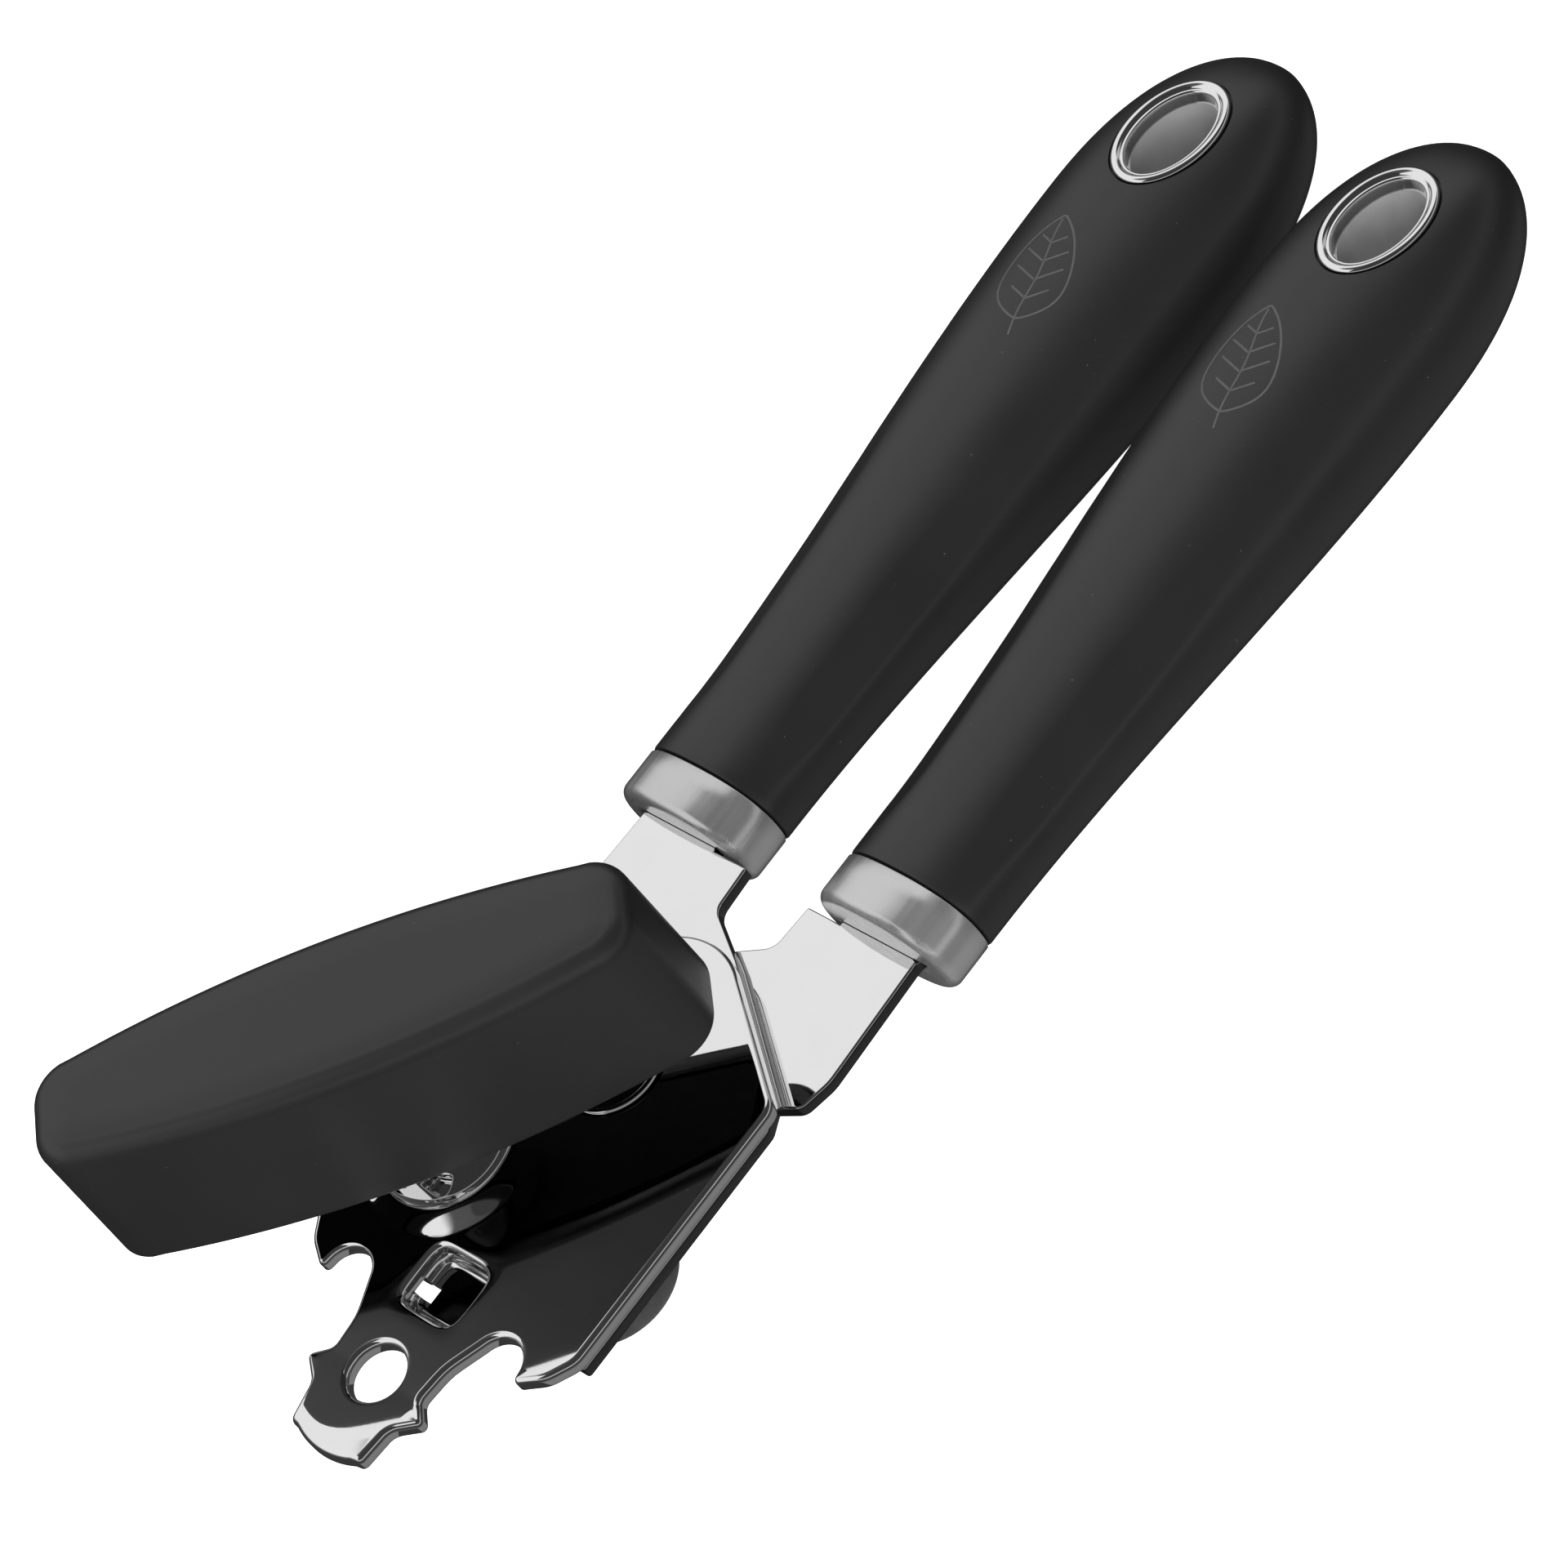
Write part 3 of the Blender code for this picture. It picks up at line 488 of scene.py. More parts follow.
class Paint:
    """A node material with a Principled shader and short calls for its patterns."""

    def __init__(self, name, colour, roughness, metallic=0.0):
        self.material = bpy.data.materials.new(name)
        self.material.use_nodes = True
        self.nodes = self.material.node_tree.nodes
        self.links = self.material.node_tree.links
        self.shader = self.nodes["Principled BSDF"]
        self.shader.inputs["Base Color"].default_value = (*colour, 1.0)
        self.shader.inputs["Roughness"].default_value = roughness
        self.shader.inputs["Metallic"].default_value = metallic
        self.coordinates = self.nodes.new("ShaderNodeTexCoord").outputs["Object"]

    def set(self, **values):
        for name, value in values.items():
            self.shader.inputs[name.replace("_", " ")].default_value = value
        return self

    def noise(self, scale, detail=3.0, stretch=(1.0, 1.0, 1.0)):
        mapping = self.nodes.new("ShaderNodeMapping")
        mapping.inputs["Scale"].default_value = stretch
        self.links.new(self.coordinates, mapping.inputs["Vector"])
        texture = self.nodes.new("ShaderNodeTexNoise")
        texture.inputs["Scale"].default_value = scale
        texture.inputs["Detail"].default_value = detail
        self.links.new(mapping.outputs["Vector"], texture.inputs["Vector"])
        return texture.outputs["Fac"]

    def ramp(self, value, low, high, start, end):
        """Maps value from low..high to start..end."""
        node = self.nodes.new("ShaderNodeMapRange")
        node.inputs["From Min"].default_value = low
        node.inputs["From Max"].default_value = high
        node.inputs["To Min"].default_value = start
        node.inputs["To Max"].default_value = end
        self.links.new(value, node.inputs["Value"])
        return node.outputs["Result"]

    def mix(self, share, first, second):
        node = self.nodes.new("ShaderNodeMix")
        node.data_type = "RGBA"
        node.inputs["A"].default_value = (*first, 1.0)
        node.inputs["B"].default_value = (*second, 1.0)
        self.links.new(share, node.inputs["Factor"])
        return node.outputs["Result"]

    def link(self, value, socket):
        self.links.new(value, self.shader.inputs[socket])
        return self

    def bump(self, value, strength, distance):
        node = self.nodes.new("ShaderNodeBump")
        node.inputs["Strength"].default_value = strength
        node.inputs["Distance"].default_value = distance
        self.links.new(value, node.inputs["Height"])
        self.links.new(node.outputs["Normal"], self.shader.inputs["Normal"])
        return self


def grey(value):
    return (value, value, value)


def make_chrome():
    paint = Paint("bright_chrome", grey(0.76), 0.03, 1.0)
    haze = paint.noise(90.0, 4.0)
    paint.link(paint.ramp(haze, 0.3, 0.75, 0.02, 0.05), "Roughness")
    paint.link(paint.mix(paint.noise(240.0, 5.0), grey(0.735), grey(0.775)), "Base Color")
    return paint.material


def make_brushed(name, light, dark, stretch, metallic):
    paint = Paint(name, grey(light), 0.3, metallic)
    grain = paint.noise(900.0, 6.0, stretch)
    paint.link(paint.mix(grain, grey(dark), grey(light)), "Base Color")
    paint.link(paint.ramp(grain, 0.3, 0.7, 0.22, 0.36), "Roughness")
    paint.bump(grain, 0.12, 0.00004)
    return paint.material


def make_soft_touch():
    """Matte rubbery coating: nearly black, with a fine grain and a few pale specks of dust."""
    paint = Paint("soft_touch", grey(0.014), 0.4)
    cloud = paint.noise(60.0, 3.0)
    specks = paint.ramp(paint.noise(1500.0, 2.0), 0.755, 0.80, 0.0, 1.0)
    base = paint.nodes.new("ShaderNodeMix")
    base.data_type = "RGBA"
    paint.links.new(specks, base.inputs["Factor"])
    paint.links.new(paint.mix(cloud, grey(0.012), grey(0.016)), base.inputs["A"])
    base.inputs["B"].default_value = (0.06, 0.06, 0.06, 1.0)
    paint.link(base.outputs["Result"], "Base Color")
    paint.link(paint.ramp(cloud, 0.3, 0.7, 0.36, 0.42), "Roughness")
    paint.bump(paint.noise(2600.0, 4.0), 0.10, 0.00008)
    paint.set(Specular_IOR_Level=0.5)
    return paint.material


def make_motif():
    paint = Paint("motif_grey", grey(0.08), 0.5)
    paint.link(paint.mix(paint.noise(800.0), grey(0.06), grey(0.10)), "Base Color")
    return paint.material


def make_core_plastic():
    paint = Paint("core_plastic", grey(0.01), 0.6)
    paint.link(paint.mix(paint.noise(300.0), grey(0.006), grey(0.012)), "Base Color")
    paint.set(Specular_IOR_Level=0.1)
    return paint.material


def make_brass():
    paint = Paint("turned_brass", (0.7, 0.5, 0.25), 0.25, 1.0)
    rings = paint.noise(700.0, 4.0, (0.1, 0.1, 1.0))
    paint.link(paint.mix(rings, (0.62, 0.43, 0.2), (0.74, 0.55, 0.3)), "Base Color")
    return paint.material


def make_satin():
    paint = Paint("satin_steel", grey(0.65), 0.4, 0.7)
    haze = paint.noise(400.0, 4.0)
    paint.link(paint.mix(haze, grey(0.66), grey(0.82)), "Base Color")
    paint.link(paint.ramp(haze, 0.3, 0.7, 0.34, 0.44), "Roughness")
    return paint.material


CHROME = make_chrome()
SATIN = make_satin()
FERRULE_STEEL = make_brushed("brushed_steel", 0.64, 0.50, (0.04, 1.0, 1.0), 0.8)
HARD_STEEL = make_brushed("hardened_steel", 0.55, 0.42, (1.0, 1.0, 0.1), 0.9)
# Dark brushed metal for the tangs' side walls: a painted dark reflection along their edges, with a brushed
# grain.
TANG_SIDE_PAINTED_REFLECTION = make_brushed("tang_side_painted_reflection", 0.14, 0.05, (0.15, 0.15, 2.0), 1.0)
SOFT_TOUCH = make_soft_touch()
MOTIF = make_motif()
CORE_PLASTIC = make_core_plastic()
BRASS = make_brass()


def finish_piece(obj, material, slot, body, *nodes):
    """Gives a new piece its material and its body, and lets it stand for its CAD nodes."""
    obj.data.materials.append(material)
    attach(obj, body)
    if nodes:
        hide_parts(*nodes)
    return obj


# ---------------------------------------------------------------- sheet-metal head

def plate_outline():
    """The front plate's outline: tip, spikes, bottle-opener hooks, sides and round handle end."""
    tip = [(*p, 0) for p in arc((0.4, 0), 12.0, 180, 156, 8)][1:]
    half = tip + [
        (-10.3, 6.4, 1.0),
        (-5.1, 7.3, 2.5),
        (-2.45, 10.7, 0.75),
        (0.0, 8.05, 1.6),
        (4.6, 8.45, 8.0),
    ]
    half += [(*p, 0) for p in arc((8.3, 13.9), 3.5, -72, 72, 20)]
    half += [
        (7.15, 17.6, 0.75),
        (9.7, 21.5, 5.0),
        (13.4, 23.85, 4.0),
        (51.9, 23.85, 3.0),
    ]
    half += [(*p, 0) for p in arc((55.0, 0), 10.9, 33, 0, 8)][:-1]
    return rounded([(-11.6, 0.0, 0)] + half + [(65.9, 0.0, 0)] + mirrored(half))


def plate_height(x, y):
    """How far the plate's face is pressed up or down from flat."""
    from_shaft = math.hypot(x - SHAFT.x, y - SHAFT.y)
    raised = BOSS_H * soft_ramp((BOSS_FOOT_R - from_shaft) / (BOSS_FOOT_R - BOSS_TOP_R))
    u = abs(x - POCKET[0]) / POCKET_HALF[0]
    v = abs(y - POCKET[1]) / POCKET_HALF[1]
    beyond = ((u ** POCKET_POWER + v ** POCKET_POWER) ** (1 / POCKET_POWER) - 1) * POCKET_HALF[0]
    sunk = POCKET_HALO[0] * math.exp(-(max(beyond, 0.0) / POCKET_HALO[1]) ** 2)
    past = math.hypot(x - TIP_BEND[0], y - TIP_BEND[1]) - TIP_BEND[2]
    bent = 0.0
    if x < TIP_BEND_FROM:
        share = smooth_step((TIP_BEND_FROM - x) / TIP_BEND_SPREAD)
        bent = share * TIP_BEND_SLOPE * (past + math.hypot(past, TIP_BEND_SOFT)) / 2
    ahead = TIP_LIFT_FROM - x
    lifted = TIP_LIFT_SLOPE * (math.hypot(ahead, TIP_LIFT_SOFT) + ahead) / 2
    return raised - sunk - bent + lifted


def pocket_ring(outward, z, count=96):
    half = [size + outward for size in POCKET_HALF]
    return [(POCKET[0] + x, POCKET[1] + y, z) for x, y in superellipse(*half, count, POCKET_POWER)]


def make_pocket_cup():
    """The pressed square cup below the plate; its floor is open on the tip's side."""
    inner, outer = [], []
    lean = 0.12 * POCKET_DEPTH
    for i in range(9):
        angle = math.pi / 2 * i / 8
        drop = POCKET_FILLET * math.sin(angle)
        narrow = -lean - POCKET_FILLET * (1 - math.cos(angle))
        inner.append(pocket_ring(narrow, POCKET_FILLET - POCKET_DEPTH - drop))
        wide = POCKET_WALL - lean - (POCKET_FILLET + 0.4) * (1 - math.cos(angle))
        outer.append(pocket_ring(wide, POCKET_FILLET - POCKET_DEPTH - POCKET_WALL - drop * 0.95))
    seam = POCKET_SEAM - PLATE_T
    start = [pocket_ring(POCKET_WALL, seam), pocket_ring(0.04, seam), pocket_ring(0.0, seam - 0.05)]
    floor = (POCKET[0], POCKET[1], inner[-1][0][2])
    under = (POCKET[0], POCKET[1], outer[-1][0][2])
    cup = loft("pocket_cup", list(reversed(outer)) + start + inner, (under, floor), smooth_angle=50)
    low, high = POCKET_WINDOW
    cut_block(cup, [b - a for a, b in zip(low, high)], [(a + b) / 2 for a, b in zip(low, high)])
    smooth_after_cut(cup, 50)
    finish_piece(cup, CHROME, "chrome", "frame", "front_plate")


def circle_loop(centre_at, radius, count=96):
    """A hole's loop, which runs with the material on its left."""
    return list(reversed(arc(centre_at, radius, 0, 360 * (count - 1) / count, count - 1)))


def detail_points(outline):
    """Extra points where the plate is curved: round the boss, round the pocket and at the tip."""
    points = []
    radius = BOSS_TOP_R - 0.8
    while radius < BOSS_FOOT_R + 0.5:
        points += arc((SHAFT.x, SHAFT.y), radius, 0, 357.5, 143)
        radius += 0.22
    for beyond in (1.05, 1.3, 1.6, 1.9, 2.3, 2.8, 3.4):
        half = [size + beyond for size in POCKET_HALF]
        points += [(POCKET[0] + x, POCKET[1] + y) for x, y in superellipse(*half, 96, POCKET_POWER)]
    for change in (-1.2, -0.8, -0.5, -0.3, -0.1, 0.1, 0.3, 0.5, 0.8, 1.2, 1.7):
        points += arc(TIP_BEND[:2], TIP_BEND[2] + change, 90, 270, 90)
    inner = inset_loop(outline, EDGE_R + 0.2)
    return [p for p in points if is_material(p[0], p[1], [inner]) and clear_of_pocket(p)]


def clear_of_pocket(point):
    u = abs(point[0] - POCKET[0]) / (POCKET_HALF[0] + EDGE_R + 0.12)
    v = abs(point[1] - POCKET[1]) / (POCKET_HALF[1] + EDGE_R + 0.12)
    return u ** POCKET_POWER + v ** POCKET_POWER > 1


def anticlockwise(outline):
    area = sum(a[0] * b[1] - b[0] * a[1] for a, b in zip(outline, outline[1:] + outline[:1]))
    return outline if area > 0 else list(reversed(outline))


def make_front_plate():
    outline = anticlockwise(plate_outline())
    holes = [circle_loop((0, 0), TIP_HOLE_R), circle_loop((PIVOT.x, PIVOT.y), RIVET_HOLE_R)]
    holes.append(circle_loop((SHAFT.x, SHAFT.y), SHAFT_HOLE_R))
    holes.append([point[:2] for point in reversed(pocket_ring(0.0, 0.0))])
    plate = sheet_piece("front_plate_polished", [outline] + holes, 0.0, PLATE_T, height=plate_height,
                        extra=detail_points(outline))
    finish_piece(plate, CHROME, "chrome", "frame", "front_plate")


def tang_corners():
    """A tang's outline for the left handle, its blade on the other side of the head."""
    return [
        (76.7, 23.8, 0.4), (58.9, 24.5, 6.0), (54.4, 23.4, 2.0), (50.0, 14.6, 1.0),
        (46.5, 9.6, 3.0), (38.6, 6.6, 3.0), (34.5, 0.4, 3.0), (21.5, -1.2, 2.0), (18.9, -6.4, 1.5),
        (13.5, -7.0, 0.6), (13.5, -23.4, 0.5), (49.6, -23.4, 2.0), (52.8, -21.8, 2.0),
        (66.0, -2.8, 4.0), (70.2, 4.4, 2.5), (76.7, 4.8, 0.3),
    ]


def make_tang(name, side, top, body, node):
    corners = tang_corners()
    near = HANDLE_Y - TANG_END_HALF
    far = HANDLE_Y + TANG_END_HALF
    corners += [(FERRULE_X - 0.4, near, 0), (FERRULE_X + 4.0, near, 0), (FERRULE_X + 4.0, far, 0)]
    if side < 0:
        corners = mirrored(corners)
    outline = anticlockwise(rounded(corners))
    other, radius = (CUTTER, AXLE_HOLE_R) if side > 0 else (SHAFT, SHAFT_HOLE_R)
    holes = [circle_loop((PIVOT.x, PIVOT.y), RIVET_HOLE_R), circle_loop((other.x, other.y), radius)]
    tang = sheet_piece(name, [outline] + holes, top, TANG_T, upper=TANG_EDGE_R)
    finish_piece(tang, CHROME, "chrome", body, node)
    # The near-vertical side walls take the dark metal as a painted dark reflection; the faces keep the
    # chrome.
    tang.data.materials.append(TANG_SIDE_PAINTED_REFLECTION)
    for face in tang.data.polygons:
        if abs(face.normal.z) < 0.3:
            face.material_index = 1


# ---------------------------------------------------------------- turned pieces

def make_rivet():
    """Low dome with a dimple and a rim, a shank through the stack, and a clenched back head."""
    low = in_head(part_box("pivot_rivet")[0]).z
    back = low + 1.5
    profile = [(0.01, 1.55), (1.0, 1.55), (1.5, 1.66), (1.9, 1.85), (2.4, 1.95), (3.2, 1.88), (4.2, 1.70)]
    profile += [(5.2, 1.42), (5.9, 1.12), (6.25, 0.92), (6.4, 0.82), (6.55, 0.84), (6.75, 0.80)]
    profile += [(6.92, 0.66), (7.0, 0.48), (7.0, 0.34), (6.9, 0.3), (2.7, 0.3)]
    profile += [(2.7, back), (4.0, back), (4.15, back - 0.15), (4.2, back - 0.4), (3.9, back - 1.0)]
    profile += [(3.2, back - 1.35), (2.0, low + 0.05), (0.01, low)]
    rivet = turned("pivot_rivet_domed", profile, PIVOT)
    finish_piece(rivet, CHROME, "chrome", "frame", "pivot_rivet")


def make_collar():
    """The polished sleeve round the knob's shaft, standing on the plate's boss."""
    foot = BOSS_H + 0.05
    profile = [(COLLAR_BORE_R, foot), (COLLAR_BORE_R, COLLAR_TOP), (COLLAR_R - 0.4, COLLAR_TOP),
               (COLLAR_R - 0.12, COLLAR_TOP - 0.1), (COLLAR_R, COLLAR_TOP - 0.4), (COLLAR_R, foot + 0.5),
               (COLLAR_R + 0.02, foot + 0.2), (COLLAR_R + 0.1, foot + 0.07), (COLLAR_R + 0.12, foot)]
    collar = turned("shaft_collar_polished", profile, SHAFT, closed=True, smooth_angle=50)
    finish_piece(collar, CHROME, "chrome", "frame", "shaft_collar")


def make_cutting_wheel():
    """A hub with a ground disc; its edge is sharp and lies a little below the top."""
    low, high = (in_head(p).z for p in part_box("cutting_wheel"))
    edge = high - 1.0
    profile = [(2.7, high), (4.3, high), (4.55, high - 0.08), (4.7, high - 0.25), (5.3, edge + 0.62),
               (5.6, edge + 0.55), (8.6, edge + 0.12), (9.06, edge + 0.02), (9.1, edge), (9.06, edge - 0.03),
               (7.2, edge - 0.36), (5.5, low + 0.03), (5.3, low), (2.7, low)]
    wheel = turned("cutting_wheel_ground", profile, CUTTER, closed=True, smooth_angle=25)
    finish_piece(wheel, HARD_STEEL, "hardened_steel", "cutter", "cutting_wheel")


# ---------------------------------------------------------------- knob

def knob_ring(inset, z, side_points=28, corner_points=14):
    """The boat-shaped outline at a height: bulged long sides, short ends and round corners."""
    half_l = KNOB_L / 2 - inset
    end_w = KNOB_W_END / 2 - inset
    mid_w = KNOB_W_MID / 2 - inset
    corner = max(KNOB_CORNER - inset, 0.8)
    share = (z - KNOB_BASE) / (KNOB_TOP - KNOB_BASE)
    reach = half_l - corner
    half = []
    for i in range(-side_points, side_points + 1):
        t = i / side_points
        half.append((reach * t, mid_w - (mid_w - end_w) * t * t))
    slope = math.degrees(math.atan2(2 * (mid_w - end_w), reach))
    half += arc((reach, end_w - corner), corner, 90 - slope, 0, corner_points)[1:]
    ring = [p for p in half if p[0] >= 0] + [(x, -y) for x, y in reversed(half) if x >= 0]
    ring += [(-x, y) for x, y in reversed(ring)]
    cosine = math.cos(KNOB_TURN)
    sine = math.sin(KNOB_TURN)
    placed = []
    for x, y in dedupe(ring):
        x *= 1 - KNOB_DRAFT * share / (KNOB_L / 2)
        y *= 1 - KNOB_DRAFT * share / (KNOB_W_MID / 2)
        placed.append((SHAFT.x + x * cosine - y * sine, SHAFT.y + x * sine + y * cosine, z))
    return placed


def dedupe(points):
    """A closed row of points without neighbours in the same place."""
    kept = []
    for point in points:
        if not kept or math.dist(point, kept[-1]) > 1e-6:
            kept.append(point)
    if math.dist(kept[0], kept[-1]) < 1e-6:
        kept.pop()
    return kept


def make_knob():
    """The soft shell: a recess below, a small lower edge, drafted sides, a round top edge and a crown."""
    rings = [knob_ring(KNOB_RIM, KNOB_BASE + 3.0), knob_ring(KNOB_RIM, KNOB_BASE + 0.3)]
    rings.append(knob_ring(KNOB_RIM - 0.4, KNOB_BASE))
    for i in range(6):
        angle = math.pi / 2 * i / 5
        inset = KNOB_LOW_EDGE * (1 - math.sin(angle))
        rings.append(knob_ring(inset, KNOB_BASE + KNOB_LOW_EDGE * (1 - math.cos(angle))))
    side_height = KNOB_TOP - KNOB_TOP_EDGE - KNOB_BASE - KNOB_LOW_EDGE
    for i in range(1, 6):
        rings.append(knob_ring(0.0, KNOB_BASE + KNOB_LOW_EDGE + side_height * i / 6))
    for i in range(13):
        angle = math.pi / 2 * i / 12
        inset = KNOB_TOP_EDGE * (1 - math.cos(angle))
        rings.append(knob_ring(inset, KNOB_TOP - KNOB_CROWN - KNOB_TOP_EDGE * (1 - math.sin(angle))))
    for i in range(1, 9):
        inset = KNOB_TOP_EDGE + (KNOB_W_END / 2 - 2.0 - KNOB_TOP_EDGE) * i / 8
        crown = KNOB_CROWN * (1 - (1 - i / 8) ** 2)
        rings.append(knob_ring(inset, KNOB_TOP - KNOB_CROWN + crown))
    knob = loft("knob_soft_shell", rings, ("flat", "flat"))
    finish_piece(knob, SOFT_TOUCH, "soft_grip", "knob", "knob_shell")


# ---------------------------------------------------------------- handles

def grip_halves(x):
    """Half-width and half-thickness of a grip at x."""
    share = (x - GRIP_X) / (GRIP_END - GRIP_X)
    swell = smooth_step(share / GRIP_WIDEST)
    half_w = GRIP_HALF_W[0] + (GRIP_HALF_W[1] - GRIP_HALF_W[0]) * swell
    half_t = GRIP_HALF_T[0] + (GRIP_HALF_T[1] - GRIP_HALF_T[0]) * swell
    past = max((share - GRIP_WIDEST) / (1 - GRIP_WIDEST), 0.0)
    closing = max(1 - past ** GRIP_CLOSING, 0.0) ** 0.5
    return half_w * closing, half_t * closing


def handle_ring(x, half_w, half_t, side, count=128):
    points = superellipse(half_w, half_t, count, GRIP_POWER)
    share = (x - GRIP_X) / (GRIP_END - GRIP_X)
    depth = FACET_DEPTH * smooth_step(share / FACET_START_SPREAD)
    depth *= smooth_step((FACET_END - share) / FACET_END_SPREAD)
    return [(x, side * HANDLE_Y + y, HANDLE_Z + z) for y, z in pressed(points, depth)]


def pressed(points, depth):
    """Flattens the upper shoulders of a section, where the fingers and the thumb lie."""
    if depth <= 0:
        return points
    for side in (1, -1):
        across = Vector((side * math.sin(FACET_LEAN), math.cos(FACET_LEAN)))
        limit = max(across.dot(Vector(point)) for point in points) - depth
        flat = []
        for point in points:
            past = across.dot(Vector(point)) - limit
            past = (past + math.hypot(past, FACET_SOFT)) / 2 if past > -1.5 else 0.0
            flat.append(tuple(Vector(point) - across * past))
        points = flat
    return points


def eyelet_matrix(side):
    tilt = Matrix.Rotation(EYELET_TILT, 4, "Y")
    return Matrix.Translation((EYELET_X, side * HANDLE_Y, HANDLE_Z)) @ tilt


def eyelet_ring(side, inset, z, slope=0.0, count=128):
    """An oval ring round the eyelet's axis, inset from its rim's outside."""
    place = eyelet_matrix(side)
    ring = []
    for x, y in superellipse(EYELET_HALF[0] - inset, EYELET_HALF[1] - inset, count):
        ring.append(tuple(place @ Vector((x, y, z + slope * x))))
    return ring


def make_grip(prefix, side, body):
    """The soft grip with its neck, the hole through it and the seats of both eyelets."""
    width = GRIP_HALF_W[0]
    thick = GRIP_HALF_T[0]
    start = [(FERRULE_END - 1.0, GRIP_NECK_INSET), (GRIP_X, GRIP_NECK_INSET), (GRIP_X, 0.35)]
    start += [(GRIP_X + 0.1, 0.1), (GRIP_X + 0.35, 0.0)]
    rings = [handle_ring(x, width - inset, thick - inset, side) for x, inset in start]
    length = GRIP_END - GRIP_X
    count = 110
    for i in range(1, count):
        share = 1 - (1 - i / count) ** 1.35
        half_w, half_t = grip_halves(GRIP_X + length * share)
        rings.append(handle_ring(GRIP_X + length * share, half_w, half_t, side))
    grip = loft(prefix + "_grip_soft", rings, ("flat", (GRIP_END, side * HANDLE_Y, HANDLE_Z)))
    hole = [eyelet_ring(side, EYELET_RIM - HOLE_MARGIN, z) for z in (-20, 20)]
    cut(grip, loft("hole_form", hole, ("flat", "flat")))
    seat = [eyelet_ring(side, -0.2, EYELET_SEAT[0] - 0.3), eyelet_ring(side, -0.35, EYELET_SEAT[0] + 8)]
    cut(grip, loft("seat_form", seat, ("flat", "flat")))
    back = [eyelet_ring(side, -0.3, z, BACK_SLOPE) for z in (0.3 - EYELET_SEAT[1], -20)]
    cut(grip, loft("back_seat_form", back, ("flat", "flat")))
    smooth_after_cut(grip, 35)
    finish_piece(grip, SOFT_TOUCH, "soft_grip", body, prefix + "_grip")


def leaf_strokes():
    """A plain leaf: its outline, its midrib and its veins, along and across the handle."""
    half = MOTIF_SIZE[0] / 2
    outline = []
    for i in range(49):
        t = 2 * math.pi * i / 48
        wide = MOTIF_SIZE[1] / 2 * math.sin(t) * (1 - 0.35 * math.cos(t))
        outline.append((half * math.cos(t), wide * (1 - abs(math.cos(t)) ** 6 * 0.5)))
    strokes = [outline, [(-half - 2.5 + 0.5 * i, 0.25 * math.sin(i / 4)) for i in range(36)]]
    for k in range(4):
        start = -half * 0.62 + half * 0.36 * k
        for side in (1, -1):
            reach = (2.9, 3.6, 3.2, 2.0)[k]
            strokes.append([(start + 0.55 * reach * i / 8, side * reach * i / 8) for i in range(9)])
    return strokes


def on_grip(x, y, lift):
    """The point above (x, y) on a grip's upper face; y is from the grip's middle."""
    half_w, half_t = grip_halves(x)
    return HANDLE_Z + half_t * (1 - abs(y / half_w) ** GRIP_POWER) ** (1 / GRIP_POWER) + lift


def make_motif_lines(prefix, side, body):
    """Low printed ridges of the leaf on the grip's upper face."""
    bm = bmesh.new()
    turn = Matrix.Rotation(MOTIF_TURN, 2)
    for stroke in leaf_strokes():
        points = [turn @ Vector(point) for point in stroke]
        rows = []
        for i, point in enumerate(points):
            along = points[min(i + 1, len(points) - 1)] - points[max(i - 1, 0)]
            beside = Vector((-along.y, along.x)).normalized() * MOTIF_LINE / 2
            row = []
            for share, lift in ((-1, -0.06), (-0.6, 0.035), (0.6, 0.035), (1, -0.06)):
                place = Vector(MOTIF_AT) + point + beside * share
                z = on_grip(place.x, place.y, lift)
                row.append(bm.verts.new((place.x, side * HANDLE_Y + place.y, z)))
            rows.append(row)
        for row, following in zip(rows, rows[1:]):
            for k in range(3):
                bm.faces.new((row[k], row[k + 1], following[k + 1], following[k]))
    motif = make_object(prefix + "_grip_motif", bm)
    finish_piece(motif, MOTIF, "soft_grip", body)


def make_eyelet(prefix, side, body):
    """The two halves of an eyelet: a rolled rim with an inner step, and its tube."""
    seat = EYELET_SEAT[0]
    bore = EYELET_RIM + EYELET_TUBE_WALL
    rim = [(0.35, -0.05), (0.1, 0.05), (0.0, 0.28), (0.06, 0.52), (0.24, 0.74), (0.5, 0.86), (0.78, 0.85),
           (1.02, 0.74), (1.22, 0.58), (1.36, 0.44), (1.46, 0.40), (1.58, 0.42), (1.70, 0.38), (1.80, 0.26),
           (1.88, 0.06), (1.93, -0.25), (bore, -1.0)]
    rings = [eyelet_ring(side, inset, seat + z) for inset, z in rim]
    rings += [eyelet_ring(side, bore, -2.3), eyelet_ring(side, EYELET_RIM, -2.3)]
    rings.append(eyelet_ring(side, EYELET_RIM, seat - 0.05))
    eyelet = loft(prefix + "_eyelet_polished", rings, closed=True, smooth_angle=50)
    finish_piece(eyelet, CHROME, "chrome", body, prefix + "_eyelet")
    rings = [eyelet_ring(side, inset, -EYELET_SEAT[1] - z, BACK_SLOPE) for inset, z in rim]
    rings += [eyelet_ring(side, bore, -2.6), eyelet_ring(side, EYELET_RIM, -2.6)]
    rings += [eyelet_ring(side, EYELET_RIM, -EYELET_SEAT[1] + 0.05, BACK_SLOPE)]
    eyelet = loft(prefix + "_eyelet_back_polished", rings, closed=True, smooth_angle=50)
    finish_piece(eyelet, CHROME, "chrome", body, prefix + "_eyelet_back")


